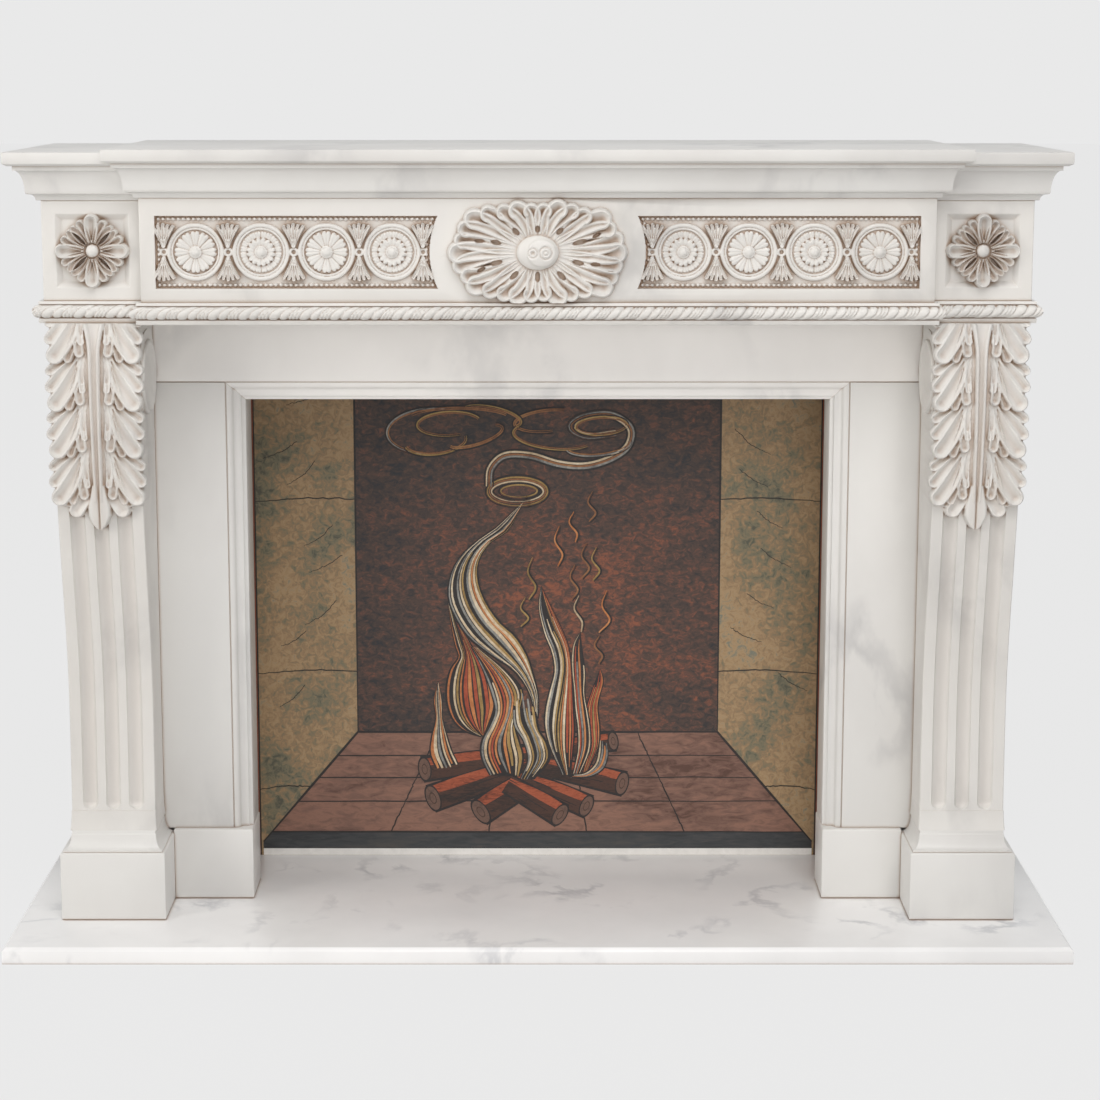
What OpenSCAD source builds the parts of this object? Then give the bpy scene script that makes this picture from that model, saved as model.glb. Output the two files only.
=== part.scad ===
// Marble chimneypiece with fluted scroll consoles, a carved breakfront frieze, a hearth slab
// and a painted fireboard. Origin under the middle of the hearth, +Z up, front towards -Y.
// Depths named *_out are measured forward from the flat back of the whole piece.

/* [Opening] */
// Clear width between the two jambs
opening_w = 1066; // [800:2:1400]
// Clear height from the hearth to the underside of the lintel
opening_h = 941; // [740:1:1200]

/* [Hearth] */
// Thickness of the hearth slab
hearth_t = 30; // [20:1:50]
// Depth of the hearth slab, front to back
hearth_d = 500; // [420:5:620]
// How far the slab runs past each console plinth at the side
hearth_side = 80; // [20:1:150]
// Bevel along the upper edge of the slab
hearth_bevel = 6; // [1:0.5:9]

/* [Jambs and lintel] */
// Width of a jamb, from the opening to the console
jamb_w = 164; // [120:1:220]
// Thickness of the jamb and lintel slabs
slab_t = 95; // [60:1:120]
// Face of the jambs and lintel, forward of the back
jamb_out = 243; // [200:1:280]
// Width of the moulding around the opening
mould_w = 35; // [20:1:60]
// How much deeper the inner edge of that moulding lies than the face
mould_drop = 17; // [8:1:25]
// Height of the plain lintel above its moulding
lintel_h = 125; // [80:1:200]

/* [Plinths] */
// Width of a console plinth
plinth_w = 190; // [165:1:240]
// Height of a console plinth
plinth_h = 127; // [90:1:180]
// Face of a console plinth, forward of the back
plinth_out = 365; // [345:1:400]
// Height of the lower plinth under a jamb
inner_plinth_h = 134; // [90:1:190]
// How far the jamb plinth stands in front of the jamb
inner_plinth_step = 11; // [4:1:30]
// How far it stands into the opening past the jamb
inner_plinth_past = 2; // [0:1:10]
// Softened arrises of the plain blocks
ease = 2; // [0.5:0.5:5]

/* [Consoles] */
// Width of a console
console_w = 152; // [120:2:180]
// Face of a console at its foot, forward of the back
console_out = 340; // [310:1:360]
// How far the head of a console swells in front of its foot
swell = 58; // [20:1:80]
// How far the shaft hollows back below the swell
hollow = 6; // [0:1:15]
// Height of the moulding between plinth and console
base_h = 37; // [20:1:60]
// Height of the plain flared band at a console's foot
band_h = 35; // [20:1:60]
// Number of flutes on a console
flutes = 3; // [3:1:5]
// Plain margin beside the outer flutes
flute_margin = 21; // [10:1:30]
// Width of the ridge between two flutes
flute_ridge = 15; // [8:1:25]
// Depth of a flute
flute_depth = 8; // [3:0.5:12]
// Length of the acanthus leaf below the rope course
leaf_len = 368; // [250:1:450]
// Relief of the leaf on the console
leaf_relief = 13; // [6:0.5:18]
// How far the leaf stands past each side of the console
leaf_past = 9; // [3:0.5:14]
// Radius of the round patera on a console's cheek
patera_r = 66; // [40:1:75]
// How far the patera stands out of the cheek
patera_t = 5; // [2:0.5:8]

/* [Frieze and rope course] */
// Height of the end blocks of the frieze
frieze_h = 175; // [130:1:230]
// Face of the end blocks, forward of the back
frieze_out = 375; // [350:1:400]
// How far the frieze stands past the consoles at the side
frieze_over = 13; // [4:1:20]
// Width of an end block
end_block_w = 175; // [150:1:220]
// How far the middle of the chimneypiece breaks forward
break_out = 32; // [10:1:45]
// How much higher the middle of the shelf lies than its ends
centre_rise = 6; // [2:1:12]
// Diameter of the rope moulding
rope_d = 23; // [14:1:32]
// Height of the fillet under the rope
rope_lower = 9; // [4:1:15]
// Height of the fillet over the rope
rope_upper = 6; // [3:1:12]
// How far the rope's fillets stand in front of the frieze
rope_fillet_out = 8; // [4:1:14]

/* [Cornice and shelf] */
// Height of the cornice under the shelf
cornice_h = 61; // [45:1:80]
// How far the shelf stands past the frieze
shelf_past = 55; // [45:1:70]
// Thickness of the shelf
shelf_t = 24; // [16:1:40]

/* [Carving] */
// Plain border above and below the sunk panels
panel_border = 25; // [18:1:40]
// Depth of the sunk panels
panel_sink = 8; // [4:1:12]
// Width of an end block's square panel
end_panel_w = 128; // [100:1:140]
// Splay of the end panels' sides
end_splay = 10; // [4:1:14]
// Plain border at the outer ends of the middle panels
panel_end = 27; // [15:1:50]
// Width of the plain field around the oval boss
boss_field = 346; // [336:2:420]
// Length of the oval boss
boss_w = 316; // [240:2:330]
// Height of the oval boss
boss_h = 178; // [130:2:180]
// Relief of the boss
boss_relief = 22; // [10:1:30]
// Number of leaflets around the boss
boss_leaves = 12; // [8:1:16]
// Radius of the outer ring of a medallion
medal_r = 49; // [38:1:56]
// Number of medallions in each middle panel
medals = 4; // [2:1:4]
// Petals of a medallion flower
petals = 12; // [8:1:16]

/* [Fireboard] */
// Thickness of the painted board
board_t = 14; // [9:1:25]
// Clearance around the board
board_gap = 1; // [0.5:0.5:4]

/* [Hidden] */
marble = "#f1efec";
painted = "#7a4a38";
back_y = hearth_d / 2;
// Across: half widths and centre lines
open_x = opening_w / 2;
jamb_x = open_x + jamb_w;
console_x = jamb_x + console_w / 2;
plinth_in = console_x - plinth_w / 2;
hearth_w = 2 * (console_x + plinth_w / 2 + hearth_side);
frieze_x = console_x + console_w / 2 + frieze_over;
break_x = frieze_x - end_block_w;
// Up: the levels of the beds
floor_z = hearth_t;
plinth_z = floor_z + plinth_h;
base_z = plinth_z + base_h;
band_z = base_z + band_h;
jamb_z = floor_z + inner_plinth_h;
open_z = floor_z + opening_h;
joint_z = open_z + mould_w - 2;
head_z = joint_z + lintel_h;
rope_h = rope_lower + rope_d + rope_upper;
frieze_z = head_z + rope_h;
cornice_z = frieze_z + frieze_h;
shelf_z = cornice_z + cornice_h;
// Depths
inner_plinth_out = jamb_out + inner_plinth_step;
slab_back = jamb_out - slab_t;
shelf_front = frieze_out + shelf_past;

// Places its children forward of the flat back
module from_back() translate([0, back_y, 0]) children();

// A section in (forward, up), run along X and centred
module run_across(points, width)
    rotate([90, 0, 90]) linear_extrude(width, center = true)
        polygon([for (p = points) [-p[0], p[1]]]);

// A section in (across, up), run forward from the back
module run_forward(points, depth) rotate([90, 0, 0]) linear_extrude(depth) polygon(points);

// A bed whose edge moulding, in (projection, up), turns mitred round three sides
module mitred_bed(edge, half_w, out, reach) {
    last = len(edge) - 1;
    intersection() {
        run_across(concat([for (p = edge) [out + p[0], p[1]]], [[0, edge[last][1]], [0, edge[0][1]]]),
                   2 * (half_w + reach) + 2);
        run_forward(concat([for (p = edge) [half_w + p[0], p[1]]],
                           [for (i = [last:-1:0]) [-half_w - edge[i][0], edge[i][1]]]), out + reach + 1);
    }
}

// A plain block with softened upper and lower arrises
module block(half_w, out, z0, z1, soft = ease)
    mitred_bed([[-soft, z0], [0, z0 + soft], [0, z1 - soft], [-soft, z1]], half_w, out, 1);

module both_hands(side) mirror([side > 0 ? 0 : 1, 0, 0]) children();

// ---- Hearth and plinths ----
module hearth_slab() color(marble) from_back()
    mitred_bed([[-1, 0], [0, 1], [0, hearth_t - hearth_bevel], [-hearth_bevel, hearth_t]],
               hearth_w / 2, hearth_d, 1);

module console_plinth(side) color(marble) both_hands(side) from_back()
    translate([console_x, 0, 0]) block(plinth_w / 2, plinth_out, floor_z, plinth_z);

module jamb_plinth(side) color(marble) both_hands(side) from_back()
    intersection() {
        translate([open_x - inner_plinth_past + jamb_w / 2, -slab_back, 0])
            block(jamb_w / 2, inner_plinth_out - slab_back, floor_z, jamb_z);
        translate([0, -hearth_d, 0]) cube([plinth_in, hearth_d, jamb_z]);
    }

// Fillet over a cavetto, narrowing from the plinth to the console
base_inset = 5;
base_steps = 6;
base_fillet = 7;
function base_edge() = concat(
    [[-base_inset, plinth_z]],
    [for (i = [0:base_steps]) let (a = 90 * i / base_steps)
        [-base_inset - 13 * sin(a), plinth_z + 3 + (base_h - base_fillet - 3) * (1 - cos(a))]],
    [[-base_inset - 14, base_z - base_fillet + 1], [-base_inset - 14, base_z]]);

// Its inner return dies against the face of the jamb
module console_base(side) color(marble) both_hands(side) from_back() difference() {
    translate([console_x, 0, 0]) mitred_bed(base_edge(), plinth_w / 2, plinth_out, 0);
    translate([0, -jamb_out, plinth_z - 1]) cube([jamb_x, jamb_out + 1, base_h + 2]);
}

// ---- Consoles: rings of points, one per height, joined into one skin ----
flute_w = (console_w - 2 * flute_margin - (flutes - 1) * flute_ridge) / flutes;
flute_cuts = [-1, -0.88, -0.6, -0.25, 0.25, 0.6, 0.88, 1];
function flute_x(i) = -console_w / 2 + flute_margin + flute_w / 2 + i * (flute_w + flute_ridge);
columns = concat([-console_w / 2, -console_w / 2 + flute_margin * 0.5],
                 [for (i = [0:flutes - 1], c = flute_cuts) flute_x(i) + c * flute_w / 2],
                 [console_w / 2 - flute_margin * 0.5, console_w / 2]);
function smooth(t) = let (s = min(1, max(0, t))) s * s * (3 - 2 * s);

// Face of the console at height z, an S curve that swells towards the head
console_h = head_z - base_z;
function rise(z) = (z - base_z) / console_h;
function face(z) = console_out - hollow * sin(180 * min(1, rise(z) / 0.5))
    + swell * smooth((rise(z) - 0.25) / 0.6) - 10 * smooth((rise(z) - 0.9) / 0.15);

// The foot band flares by a few millimetres towards the base moulding
function flare(z) = z >= band_z ? 0 : 1.5 + 4 * pow((band_z - z) / band_h, 2);
function fluting(x, z) = z <= band_z ? 0 : max([for (i = [0:flutes - 1])
    let (u = (x - flute_x(i)) / (flute_w / 2)) abs(u) < 1 ? flute_depth * sqrt(1 - u * u) : 0]);

// Leaf: a stem, four tiers of lobes that sweep down and out, and three pointed tips
tier_h = 84;
tip_z = head_z - leaf_len;
function leaf_edge(x) = tip_z + (abs(x) < 21 ? 62 * pow(abs(x) / 21, 1.4)
    : abs(x) < 56 ? 32 + 30 * pow(abs(abs(x) - 40) / 18, 1.4) : 62 + 1.1 * (abs(x) - 56));
function tier(z) = let (t = (head_z - z) / tier_h) t - floor(t);
function lobes(x, z) = let (v = (z + 0.95 * abs(x)) / (tier_h / 3)) abs(sin(180 * v));
function leaf(x, z) = let (in = smooth((z - leaf_edge(x)) / 6), u = abs(x) / (console_w / 2))
    in * leaf_relief * max(0.85 * smooth((9 - abs(x)) / 6),
        0.4 + 0.35 * lobes(x, z) + 0.25 * sin(180 * tier(z)) - 0.25 * u * u * u);
function spread(z) = leaf_past * smooth((z - tip_z - 55) / 25) * (0.55 + 0.45 * sin(180 * tier(z)));
function ring(z) = let (f = face(z) + flare(z), h = console_w / 2, w = h + flare(z) / 2, g = spread(z)) concat(
    [[-h, 0], [-h, jamb_out + 2], [-w, jamb_out + 6], [-w, f - 16]],
    [for (x = columns) [x * (w + g) / (console_w / 2),
        f + max(leaf(x, z), -fluting(x, z)) - (abs(x) > console_w / 2 - 1 ? 3 : 0)]],
    [[w, f - 16], [w, jamb_out + 6], [h, jamb_out + 2], [h, 0]]);

leaf_stations = 37;
shaft_stations = 10;
levels = concat([base_z, base_z + band_h * 0.35, base_z + band_h * 0.7, band_z, band_z + 0.5, band_z + 4],
    [for (i = [1:shaft_stations - 1]) band_z + 4 + (tip_z - band_z - 4) * i / shaft_stations],
    [for (i = [0:leaf_stations]) tip_z + leaf_len * i / leaf_stations]);

// Closed skin over a stack of rings that all have the same number of points, with a middle point in each end
function middle(ring) = let (x = [for (p = ring) p[0]], y = [for (p = ring) p[1]])
    [(min(x) + max(x)) / 2, (min(y) + max(y)) / 2, ring[0][2]];
module skin(rings) {
    n = len(rings[0]);
    m = len(rings);
    top = (m - 1) * n;
    polyhedron(points = concat([for (r = rings, p = r) p], [middle(rings[0]), middle(rings[m - 1])]),
        faces = concat(
            [for (i = [0:n - 1]) [i, (i + 1) % n, n * m]],
            [for (i = [0:n - 1]) [top + (i + 1) % n, top + i, n * m + 1]],
            [for (k = [0:m - 2], i = [0:n - 1], half = [0, 1]) let (j = (i + 1) % n, a = k * n, b = a + n)
                half == 0 ? [a + i, b + i, b + j] : [a + i, b + j, a + j]]));
}

// Cheek of the console's head: a low round scroll with a patera in the middle
patera_out = jamb_out + 4 + patera_r;
patera_z = head_z - 104;
scroll_r = patera_r + 18;
scroll_t = 2;

module patera() rotate_extrude() polygon([[0, -1], [patera_r, -1], [patera_r, patera_t - 1],
    [patera_r - 2, patera_t], [patera_r - 6, patera_t], [patera_r - 9, patera_t - 2],
    [patera_r - 22, patera_t - 2], [patera_r - 24, patera_t - 1], [0, patera_t - 1]]);

module cheek() rotate([0, 90, 0]) {
    translate([0, 0, scroll_t]) patera();
    intersection() {
        translate([0, 0, -1]) cylinder(r = scroll_r, h = scroll_t + 1);
        translate([-scroll_r, -scroll_r, -2]) cube([2 * scroll_r, scroll_r + patera_r + 3, scroll_t + 3]);
    }
}

module console(side) color(marble) both_hands(side) from_back() translate([console_x, 0, 0]) {
    skin([for (z = levels) [for (p = ring(z)) [p[0], -p[1], z]]]);
    for (inner = [0, 1]) mirror([inner, 0, 0])
        translate([console_w / 2, -patera_out, patera_z]) cheek();
}

// ---- Jambs and lintel ----
// Moulding in (distance from the opening, depth below the face): quirk, ovolo, hollow and bead
mould_steps = 5;
function mould_edge() = concat(
    [[mould_w, 0], [mould_w, 3], [mould_w - 2, 3], [mould_w - 2, 1]],
    [for (i = [0:mould_steps]) let (a = 90 * i / mould_steps)
        [mould_w - 4 - 9 * sin(a), 1 + 6 * (1 - cos(a))]],
    [for (i = [1:mould_steps]) let (a = 90 * i / mould_steps)
        [mould_w - 13 - 10 * (1 - cos(a)), 7 + 6 * sin(a)]],
    [for (i = [0:mould_steps]) let (a = 90 * i / mould_steps)
        [8 * cos(a), mould_drop - 5 + 5 * sin(a) * sin(a)]]);

// The lintel's share above the diagonal from the opening's corner, or the jamb's share below it
module mitre_cut(above) {
    reach = lintel_h + mould_w;
    translate([open_x, 0, open_z]) rotate([90, 0, 0]) linear_extrude(hearth_d)
        polygon(above
            ? [[-open_x - 1, 0], [0, 0], [mould_w - 2, mould_w - 2], [jamb_w + 1, mould_w - 2],
               [jamb_w + 1, reach], [-open_x - 1, reach]]
            : [[-1, -open_z], [-1, -1], [0, 0], [mould_w - 2, mould_w - 2], [jamb_w + 1, mould_w - 2],
               [jamb_w + 1, -open_z]]);
}

module jamb(side) color(marble) both_hands(side) from_back() intersection() {
    translate([0, 0, jamb_z]) linear_extrude(joint_z - jamb_z)
        polygon(concat([[open_x, -slab_back], [jamb_x, -slab_back], [jamb_x, -jamb_out]],
                       [for (p = mould_edge()) [open_x + p[0], -jamb_out + p[1]]]));
    mitre_cut(false);
}

module lintel() color(marble) from_back() intersection() {
    run_across(concat([[slab_back, open_z], [slab_back, head_z], [jamb_out, head_z]],
                      [for (p = mould_edge()) [jamb_out - p[1], open_z + p[0]]]), 2 * jamb_x);
    union() for (side = [-1, 1]) both_hands(side) mitre_cut(true);
}

// ---- Rope course, frieze, cornice and shelf ----
rope_steps = 10;
function rope_edge() = let (f = rope_fillet_out, z = head_z + rope_lower) concat(
    [[f, head_z], [f, z]],
    [for (i = [1:rope_steps - 1]) let (a = 180 * i / rope_steps)
        [f + rope_d / 2 * sin(a), z + rope_d / 2 * (1 - cos(a))]],
    [[f, z + rope_d], [f, frieze_z]]);

module rope_course() color(marble) from_back() {
    mitred_bed(rope_edge(), frieze_x, frieze_out, rope_d);
    mitred_bed(rope_edge(), break_x, frieze_out + break_out, rope_d);
}

// Cornice edge: small ovolo, deep cove, fillet
cove_steps = 8;
function cornice_edge(z) = let (top = shelf_past - 15, low = 22, c0 = z + 14, c1 = z + cornice_h - 8) concat(
    [[6, z]],
    [for (i = [0:4]) let (a = 90 * i / 4) [8 + 9 * (1 - cos(a)), z + 1 + 10 * sin(a)]],
    [[low, z + 12], [low, c0]],
    [for (i = [0:cove_steps]) let (a = 90 * i / cove_steps)
        [low + 1 + (top - low - 3) * (1 - cos(a)), c0 + (c1 - c0) * sin(a)]],
    [[top, c1], [top, z + cornice_h]]);

module cornice() color(marble) from_back() {
    difference() {
        mitred_bed(cornice_edge(cornice_z), frieze_x, frieze_out, shelf_past);
        translate([-break_x, -hearth_d, cornice_z - 1]) cube([2 * break_x, hearth_d + 1, centre_rise + 1]);
    }
    mitred_bed(cornice_edge(cornice_z + centre_rise), break_x, frieze_out + break_out, shelf_past);
}

// Shelf edge: a small undercut below a square arris
function shelf_edge(z) = [[-7, z], [0, z + 4], [0, z + shelf_t - 1.5], [-1.5, z + shelf_t]];

module mantel_shelf() color(marble) from_back() difference() {
    union() {
        mitred_bed(shelf_edge(shelf_z), frieze_x + shelf_past, shelf_front, 1);
        mitred_bed(shelf_edge(shelf_z + centre_rise), break_x + shelf_past, shelf_front + break_out, 1);
    }
    translate([-break_x - shelf_past + 15, -frieze_out - break_out - shelf_past + 15, shelf_z - 1])
        cube([2 * (break_x + shelf_past - 15), hearth_d, centre_rise + 1]);
}

// ---- Frieze ----
centre_face = frieze_out + break_out;
centre_top = cornice_z + centre_rise;
panel_z = frieze_z + frieze_h / 2;
panel_half_h = frieze_h / 2 - panel_border;
panel_x0 = boss_field / 2;
panel_x1 = break_x - panel_end;

// Outline of a middle panel, with its inner end hollowed round the boss
module panel_outline() difference() {
    translate([panel_x0, -panel_half_h]) square([panel_x1 - panel_x0, 2 * panel_half_h]);
    translate([panel_x0 + 14 - 150, 0]) circle(r = 150);
}

medal_pitch = (panel_x1 - panel_x0 - 37) / medals;
function medal_x(i) = panel_x1 - 12 - medal_pitch * (i + 0.5);

module medallion(daisy) {
    for (r = [medal_r, medal_r * 0.81]) rotate_extrude() translate([r - 2.5, 0]) circle(r = 2.5, $fn = 24);
    linear_extrude(3) for (i = [0:petals - 1]) rotate(360 * i / petals) translate([medal_r * 0.56, 0])
        circle(r = medal_r * (daisy ? 0.13 : 0.11), $fn = 24);
    linear_extrude(3) circle(r = medal_r * (daisy ? 0.5 : 0.54));
    linear_extrude(6) circle(r = medal_r * 0.19);
}

// Oval boss: leaflets round a domed button, over an elliptical plan
boss_sides = 6 * boss_leaves;
boss_rings = [0.22, 0.34, 0.36, 0.5, 0.66, 0.82, 0.94, 1];
boss_rise = [0.95, 0.6, 0.5, 0.75, 0.95, 1, 0.75, 0.35];
function boss_reach(a) = let (s = abs(sin(a * boss_leaves / 2))) 0.9 + 0.1 * pow(s, 0.5);
function boss_ridge(a) = 0.78 + 0.22 * abs(sin(a * boss_leaves / 2));
function boss_point(q, a, h) = [boss_w / 2 * q * cos(a), boss_h / 2 * q * sin(a), h];
module boss() {
    rings = concat(
        [[for (i = [0:boss_sides - 1]) boss_point(boss_reach(360 * i / boss_sides), 360 * i / boss_sides, -4)]],
        [for (k = [len(boss_rings) - 1:-1:0]) [for (i = [0:boss_sides - 1])
            let (a = 360 * i / boss_sides, q = boss_rings[k])
            boss_point(q * (q > 0.4 ? boss_reach(a) : 1), a,
                       boss_relief * boss_rise[k] * (q > 0.4 ? boss_ridge(a) : 1))]]);
    skin(rings);
}

// Turns a flat drawing towards the front, at a depth forward of the back
module facing(x, out, z) translate([x, -out, z]) rotate([90, 0, 0]) children();

module frieze_centre() color(marble) from_back() {
    difference() {
        translate([-break_x, -centre_face, frieze_z]) cube([2 * break_x, centre_face, centre_top - frieze_z]);
        for (side = [-1, 1]) both_hands(side) facing(0, centre_face - panel_sink, panel_z)
            linear_extrude(panel_sink + 1) panel_outline();
    }
    for (side = [-1, 1], i = [0:medals - 1]) both_hands(side)
        facing(medal_x(i), centre_face - panel_sink, panel_z) medallion(i % 2 == 0);
    facing(0, centre_face, panel_z) boss();
}

module end_rosette() {
    r = end_panel_w * 0.48;
    linear_extrude(5) for (i = [0:7]) rotate(45 * i) translate([r * 0.55, 0])
        circle(r = r * (i % 2 == 0 ? 0.33 : 0.24), $fn = 24);
    linear_extrude(8) for (i = [0:3]) rotate(90 * i) translate([r * 0.42, 0]) circle(r = r * 0.26, $fn = 24);
    linear_extrude(8) circle(r = r * 0.3);
    linear_extrude(13) circle(r = r * 0.17);
}

module frieze_block(side) color(marble) both_hands(side) from_back() {
    mid_x = break_x + end_block_w / 2;
    half = end_panel_w / 2;
    difference() {
        translate([break_x, -frieze_out, frieze_z]) cube([end_block_w, frieze_out, frieze_h]);
        facing(mid_x, frieze_out - panel_sink, panel_z) intersection() {
            rotate([90, 0, 0]) linear_extrude(2 * half + 2, center = true)
                polygon([[-half + end_splay, 0], [half - end_splay, 0], [half, panel_sink],
                         [half, panel_sink + 1], [-half, panel_sink + 1], [-half, panel_sink]]);
            rotate([90, 0, 90]) linear_extrude(2 * half + 2, center = true)
                polygon([[-half + end_splay, 0], [half - end_splay, 0], [half, panel_sink],
                         [half, panel_sink + 1], [-half, panel_sink + 1], [-half, panel_sink]]);
        }
    }
    facing(mid_x, frieze_out - panel_sink, panel_z) end_rosette();
}

// ---- Fireboard, standing on the hearth behind the jambs ----
module painted_fireboard() color(painted) from_back()
    translate([-plinth_in + board_gap, -board_t, floor_z])
        cube([2 * (plinth_in - board_gap), board_t, head_z - floor_z - board_gap]);

hearth_slab();
console_plinth(-1);  // left_console_plinth
console_plinth(1);  // right_console_plinth
jamb_plinth(-1);  // left_jamb_plinth
jamb_plinth(1);  // right_jamb_plinth
console_base(-1);  // left_console_base
console_base(1);  // right_console_base
console(-1);  // left_console
console(1);  // right_console
jamb(-1);  // left_jamb
jamb(1);  // right_jamb
lintel();
rope_course();
frieze_centre();
frieze_block(-1);  // left_frieze_block
frieze_block(1);  // right_frieze_block
cornice();
mantel_shelf();
painted_fireboard();
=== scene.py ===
# %% [markdown]
# # A carved marble chimneypiece with a painted fireboard
#
# The real object is a surround of white marble blocks, laid bed on bed, and a painted
# board that closes its opening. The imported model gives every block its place, so this
# lesson only dresses it. Plain blocks keep their own faces and get softened arrises. The
# carved blocks are reliefs, a height over a fine grid, because a carver too starts from
# a flat face and works inwards. Lengths in the carving are millimetres, and they turn
# into metres when a mesh is made.

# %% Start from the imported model
import math

import bpy
import numpy as np
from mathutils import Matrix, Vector


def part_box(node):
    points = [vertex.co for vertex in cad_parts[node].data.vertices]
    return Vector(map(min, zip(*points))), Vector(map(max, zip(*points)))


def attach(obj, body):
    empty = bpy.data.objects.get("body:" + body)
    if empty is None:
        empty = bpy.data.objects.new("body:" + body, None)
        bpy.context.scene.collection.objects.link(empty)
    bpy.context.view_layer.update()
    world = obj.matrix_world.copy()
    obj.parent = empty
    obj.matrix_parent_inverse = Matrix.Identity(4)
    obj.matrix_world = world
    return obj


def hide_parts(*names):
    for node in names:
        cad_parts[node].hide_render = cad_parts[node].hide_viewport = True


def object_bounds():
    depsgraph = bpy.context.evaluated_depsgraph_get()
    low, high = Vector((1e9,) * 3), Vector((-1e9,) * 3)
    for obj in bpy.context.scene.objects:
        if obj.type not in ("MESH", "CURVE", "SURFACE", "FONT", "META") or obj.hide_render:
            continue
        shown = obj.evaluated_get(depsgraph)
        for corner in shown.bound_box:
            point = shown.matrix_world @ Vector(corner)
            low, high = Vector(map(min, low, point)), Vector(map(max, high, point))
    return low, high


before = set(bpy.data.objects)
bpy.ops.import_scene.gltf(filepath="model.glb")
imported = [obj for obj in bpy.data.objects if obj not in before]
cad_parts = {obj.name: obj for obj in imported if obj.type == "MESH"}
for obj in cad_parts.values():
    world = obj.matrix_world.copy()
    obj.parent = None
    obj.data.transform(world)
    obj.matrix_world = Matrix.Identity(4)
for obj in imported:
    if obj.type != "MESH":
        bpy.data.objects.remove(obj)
cad_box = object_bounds()
MM = 0.001
BACK = cad_box[1].y / MM
print("blocks:", len(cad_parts))

# %% [markdown]
# ## Finishes
# The finishes are procedural patterns, so they need no picture file and keep one scale on
# every block. One helper adds a node, and colours are written as sRGB hex. Pattern sizes
# are real millimetres: a size s means that the pattern repeats about every s.

# %% Colour and node helpers
def linear(code):
    """Linear colour from an sRGB hex code."""
    parts = [int(code[i:i + 2], 16) / 255 for i in (1, 3, 5)]
    return (*(c / 12.92 if c <= 0.04045 else ((c + 0.055) / 1.055) ** 2.4 for c in parts), 1.0)


def add(tree, kind, inputs=(), **settings):
    """Adds a node. inputs maps a socket to a value or to another node's output."""
    node = tree.nodes.new("ShaderNode" + kind)
    for key, value in settings.items():
        setattr(node, key, value)
    for key, value in dict(inputs).items():
        if isinstance(value, bpy.types.NodeSocket):
            tree.links.new(value, node.inputs[key])
        else:
            node.inputs[key].default_value = value
    return node


def blend(tree, factor, below, above, how="MIX"):
    """Mixes two colours and returns the output socket."""
    sockets = {0: factor, 6: below, 7: above}
    return add(tree, "Mix", sockets, data_type="RGBA", blend_type=how).outputs[2]


def ramp(tree, factor, stops):
    """A colour ramp over (position, colour) stops, where a number is a grey."""
    node = add(tree, "ValToRGB", {"Fac": factor})
    ends = node.color_ramp.elements
    while len(ends) < len(stops):
        ends.new(0.5)
    for end, (place, colour) in zip(ends, stops):
        end.position = place
        end.color = colour if isinstance(colour, tuple) else (colour, colour, colour, 1)
    return node.outputs["Color"]


def noise(tree, place, size_mm, detail, roughness=0.5, distortion=0.0):
    return add(tree, "TexNoise", {"Vector": place, "Scale": 1 / (size_mm * MM), "Detail": detail,
                                  "Roughness": roughness, "Distortion": distortion}).outputs["Fac"]


def new_material(name, roughness):
    material = bpy.data.materials.new(name)
    material.use_nodes = True
    shader = material.node_tree.nodes["Principled BSDF"]
    shader.inputs["Roughness"].default_value = roughness
    return material, material.node_tree, shader


print("middle grey in linear light:", round(linear("#808080")[0], 3))

# %% [markdown]
# Marble is a clear white with soft grey clouds and thin broken veins. Every block is cut
# from another part of the quarry, so the pattern is shifted from piece to piece. A vein
# is a narrow band round one level of a noise, which gives thin lines that wander. A warm
# tone is painted as shade into narrow gaps, corners and joints, which also draws the dark
# joint lines, and into the carving's depths by the "hollow" value that it carries.

# %% Marble
# the warm tone of the painted shade in gaps, joints and hollows
PAINTED_SHADE_TONE = "#9A7858"


def marble(name, ground, cloud, vein, roughness, vein_mm=380, hollow=0.0, gap_mm=7):
    """Stone with painted shade in its gaps, and in its hollows at a strength from 0 to 1."""
    material, tree, shader = new_material(name, roughness)
    place = add(tree, "TexCoord").outputs["Object"]
    shift = add(tree, "ObjectInfo").outputs["Random"]
    shift = add(tree, "VectorMath", {0: (3.1, 5.3, 7.7), 3: shift}, operation="SCALE").outputs[0]
    place = add(tree, "VectorMath", {0: place, 1: shift}, operation="ADD").outputs[0]
    slant = add(tree, "Mapping", {"Vector": place, "Rotation": (0.3, 0.5, 0.7),
                                  "Scale": (1, 1, 0.6)}).outputs[0]
    line = ramp(tree, noise(tree, slant, vein_mm, 6, 0.55, 0.25),
                [(0.46, 0), (0.495, 0.9), (0.505, 0.9), (0.55, 0)])
    broken = ramp(tree, noise(tree, place, 0.8 * vein_mm, 2), [(0.5, 0), (0.68, 1)])
    clouds = ramp(tree, noise(tree, slant, 260, 4, 0.55), [(0.42, 0), (0.75, 1)])
    body = blend(tree, clouds, linear(ground), linear(cloud))
    body = blend(tree, blend(tree, 1.0, line, broken, "MULTIPLY"), body, linear(vein))
    # painted shade: a warm tone in narrow gaps, corners and joints, found by occlusion
    gap = add(tree, "AmbientOcclusion", {"Distance": gap_mm * MM}, samples=6).outputs["AO"]
    body = blend(tree, ramp(tree, gap, [(0.15, 0.85), (0.8, 0)]), body, linear(PAINTED_SHADE_TONE))
    # painted shade in the carving's depths, from the hollow value of each point
    if hollow:
        depth = add(tree, "Attribute", attribute_name="hollow").outputs["Fac"]
        body = blend(tree, ramp(tree, depth, [(0, 0), (1, hollow)]), body, linear(PAINTED_SHADE_TONE))
    tree.links.new(body, shader.inputs["Base Color"])
    return material


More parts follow.
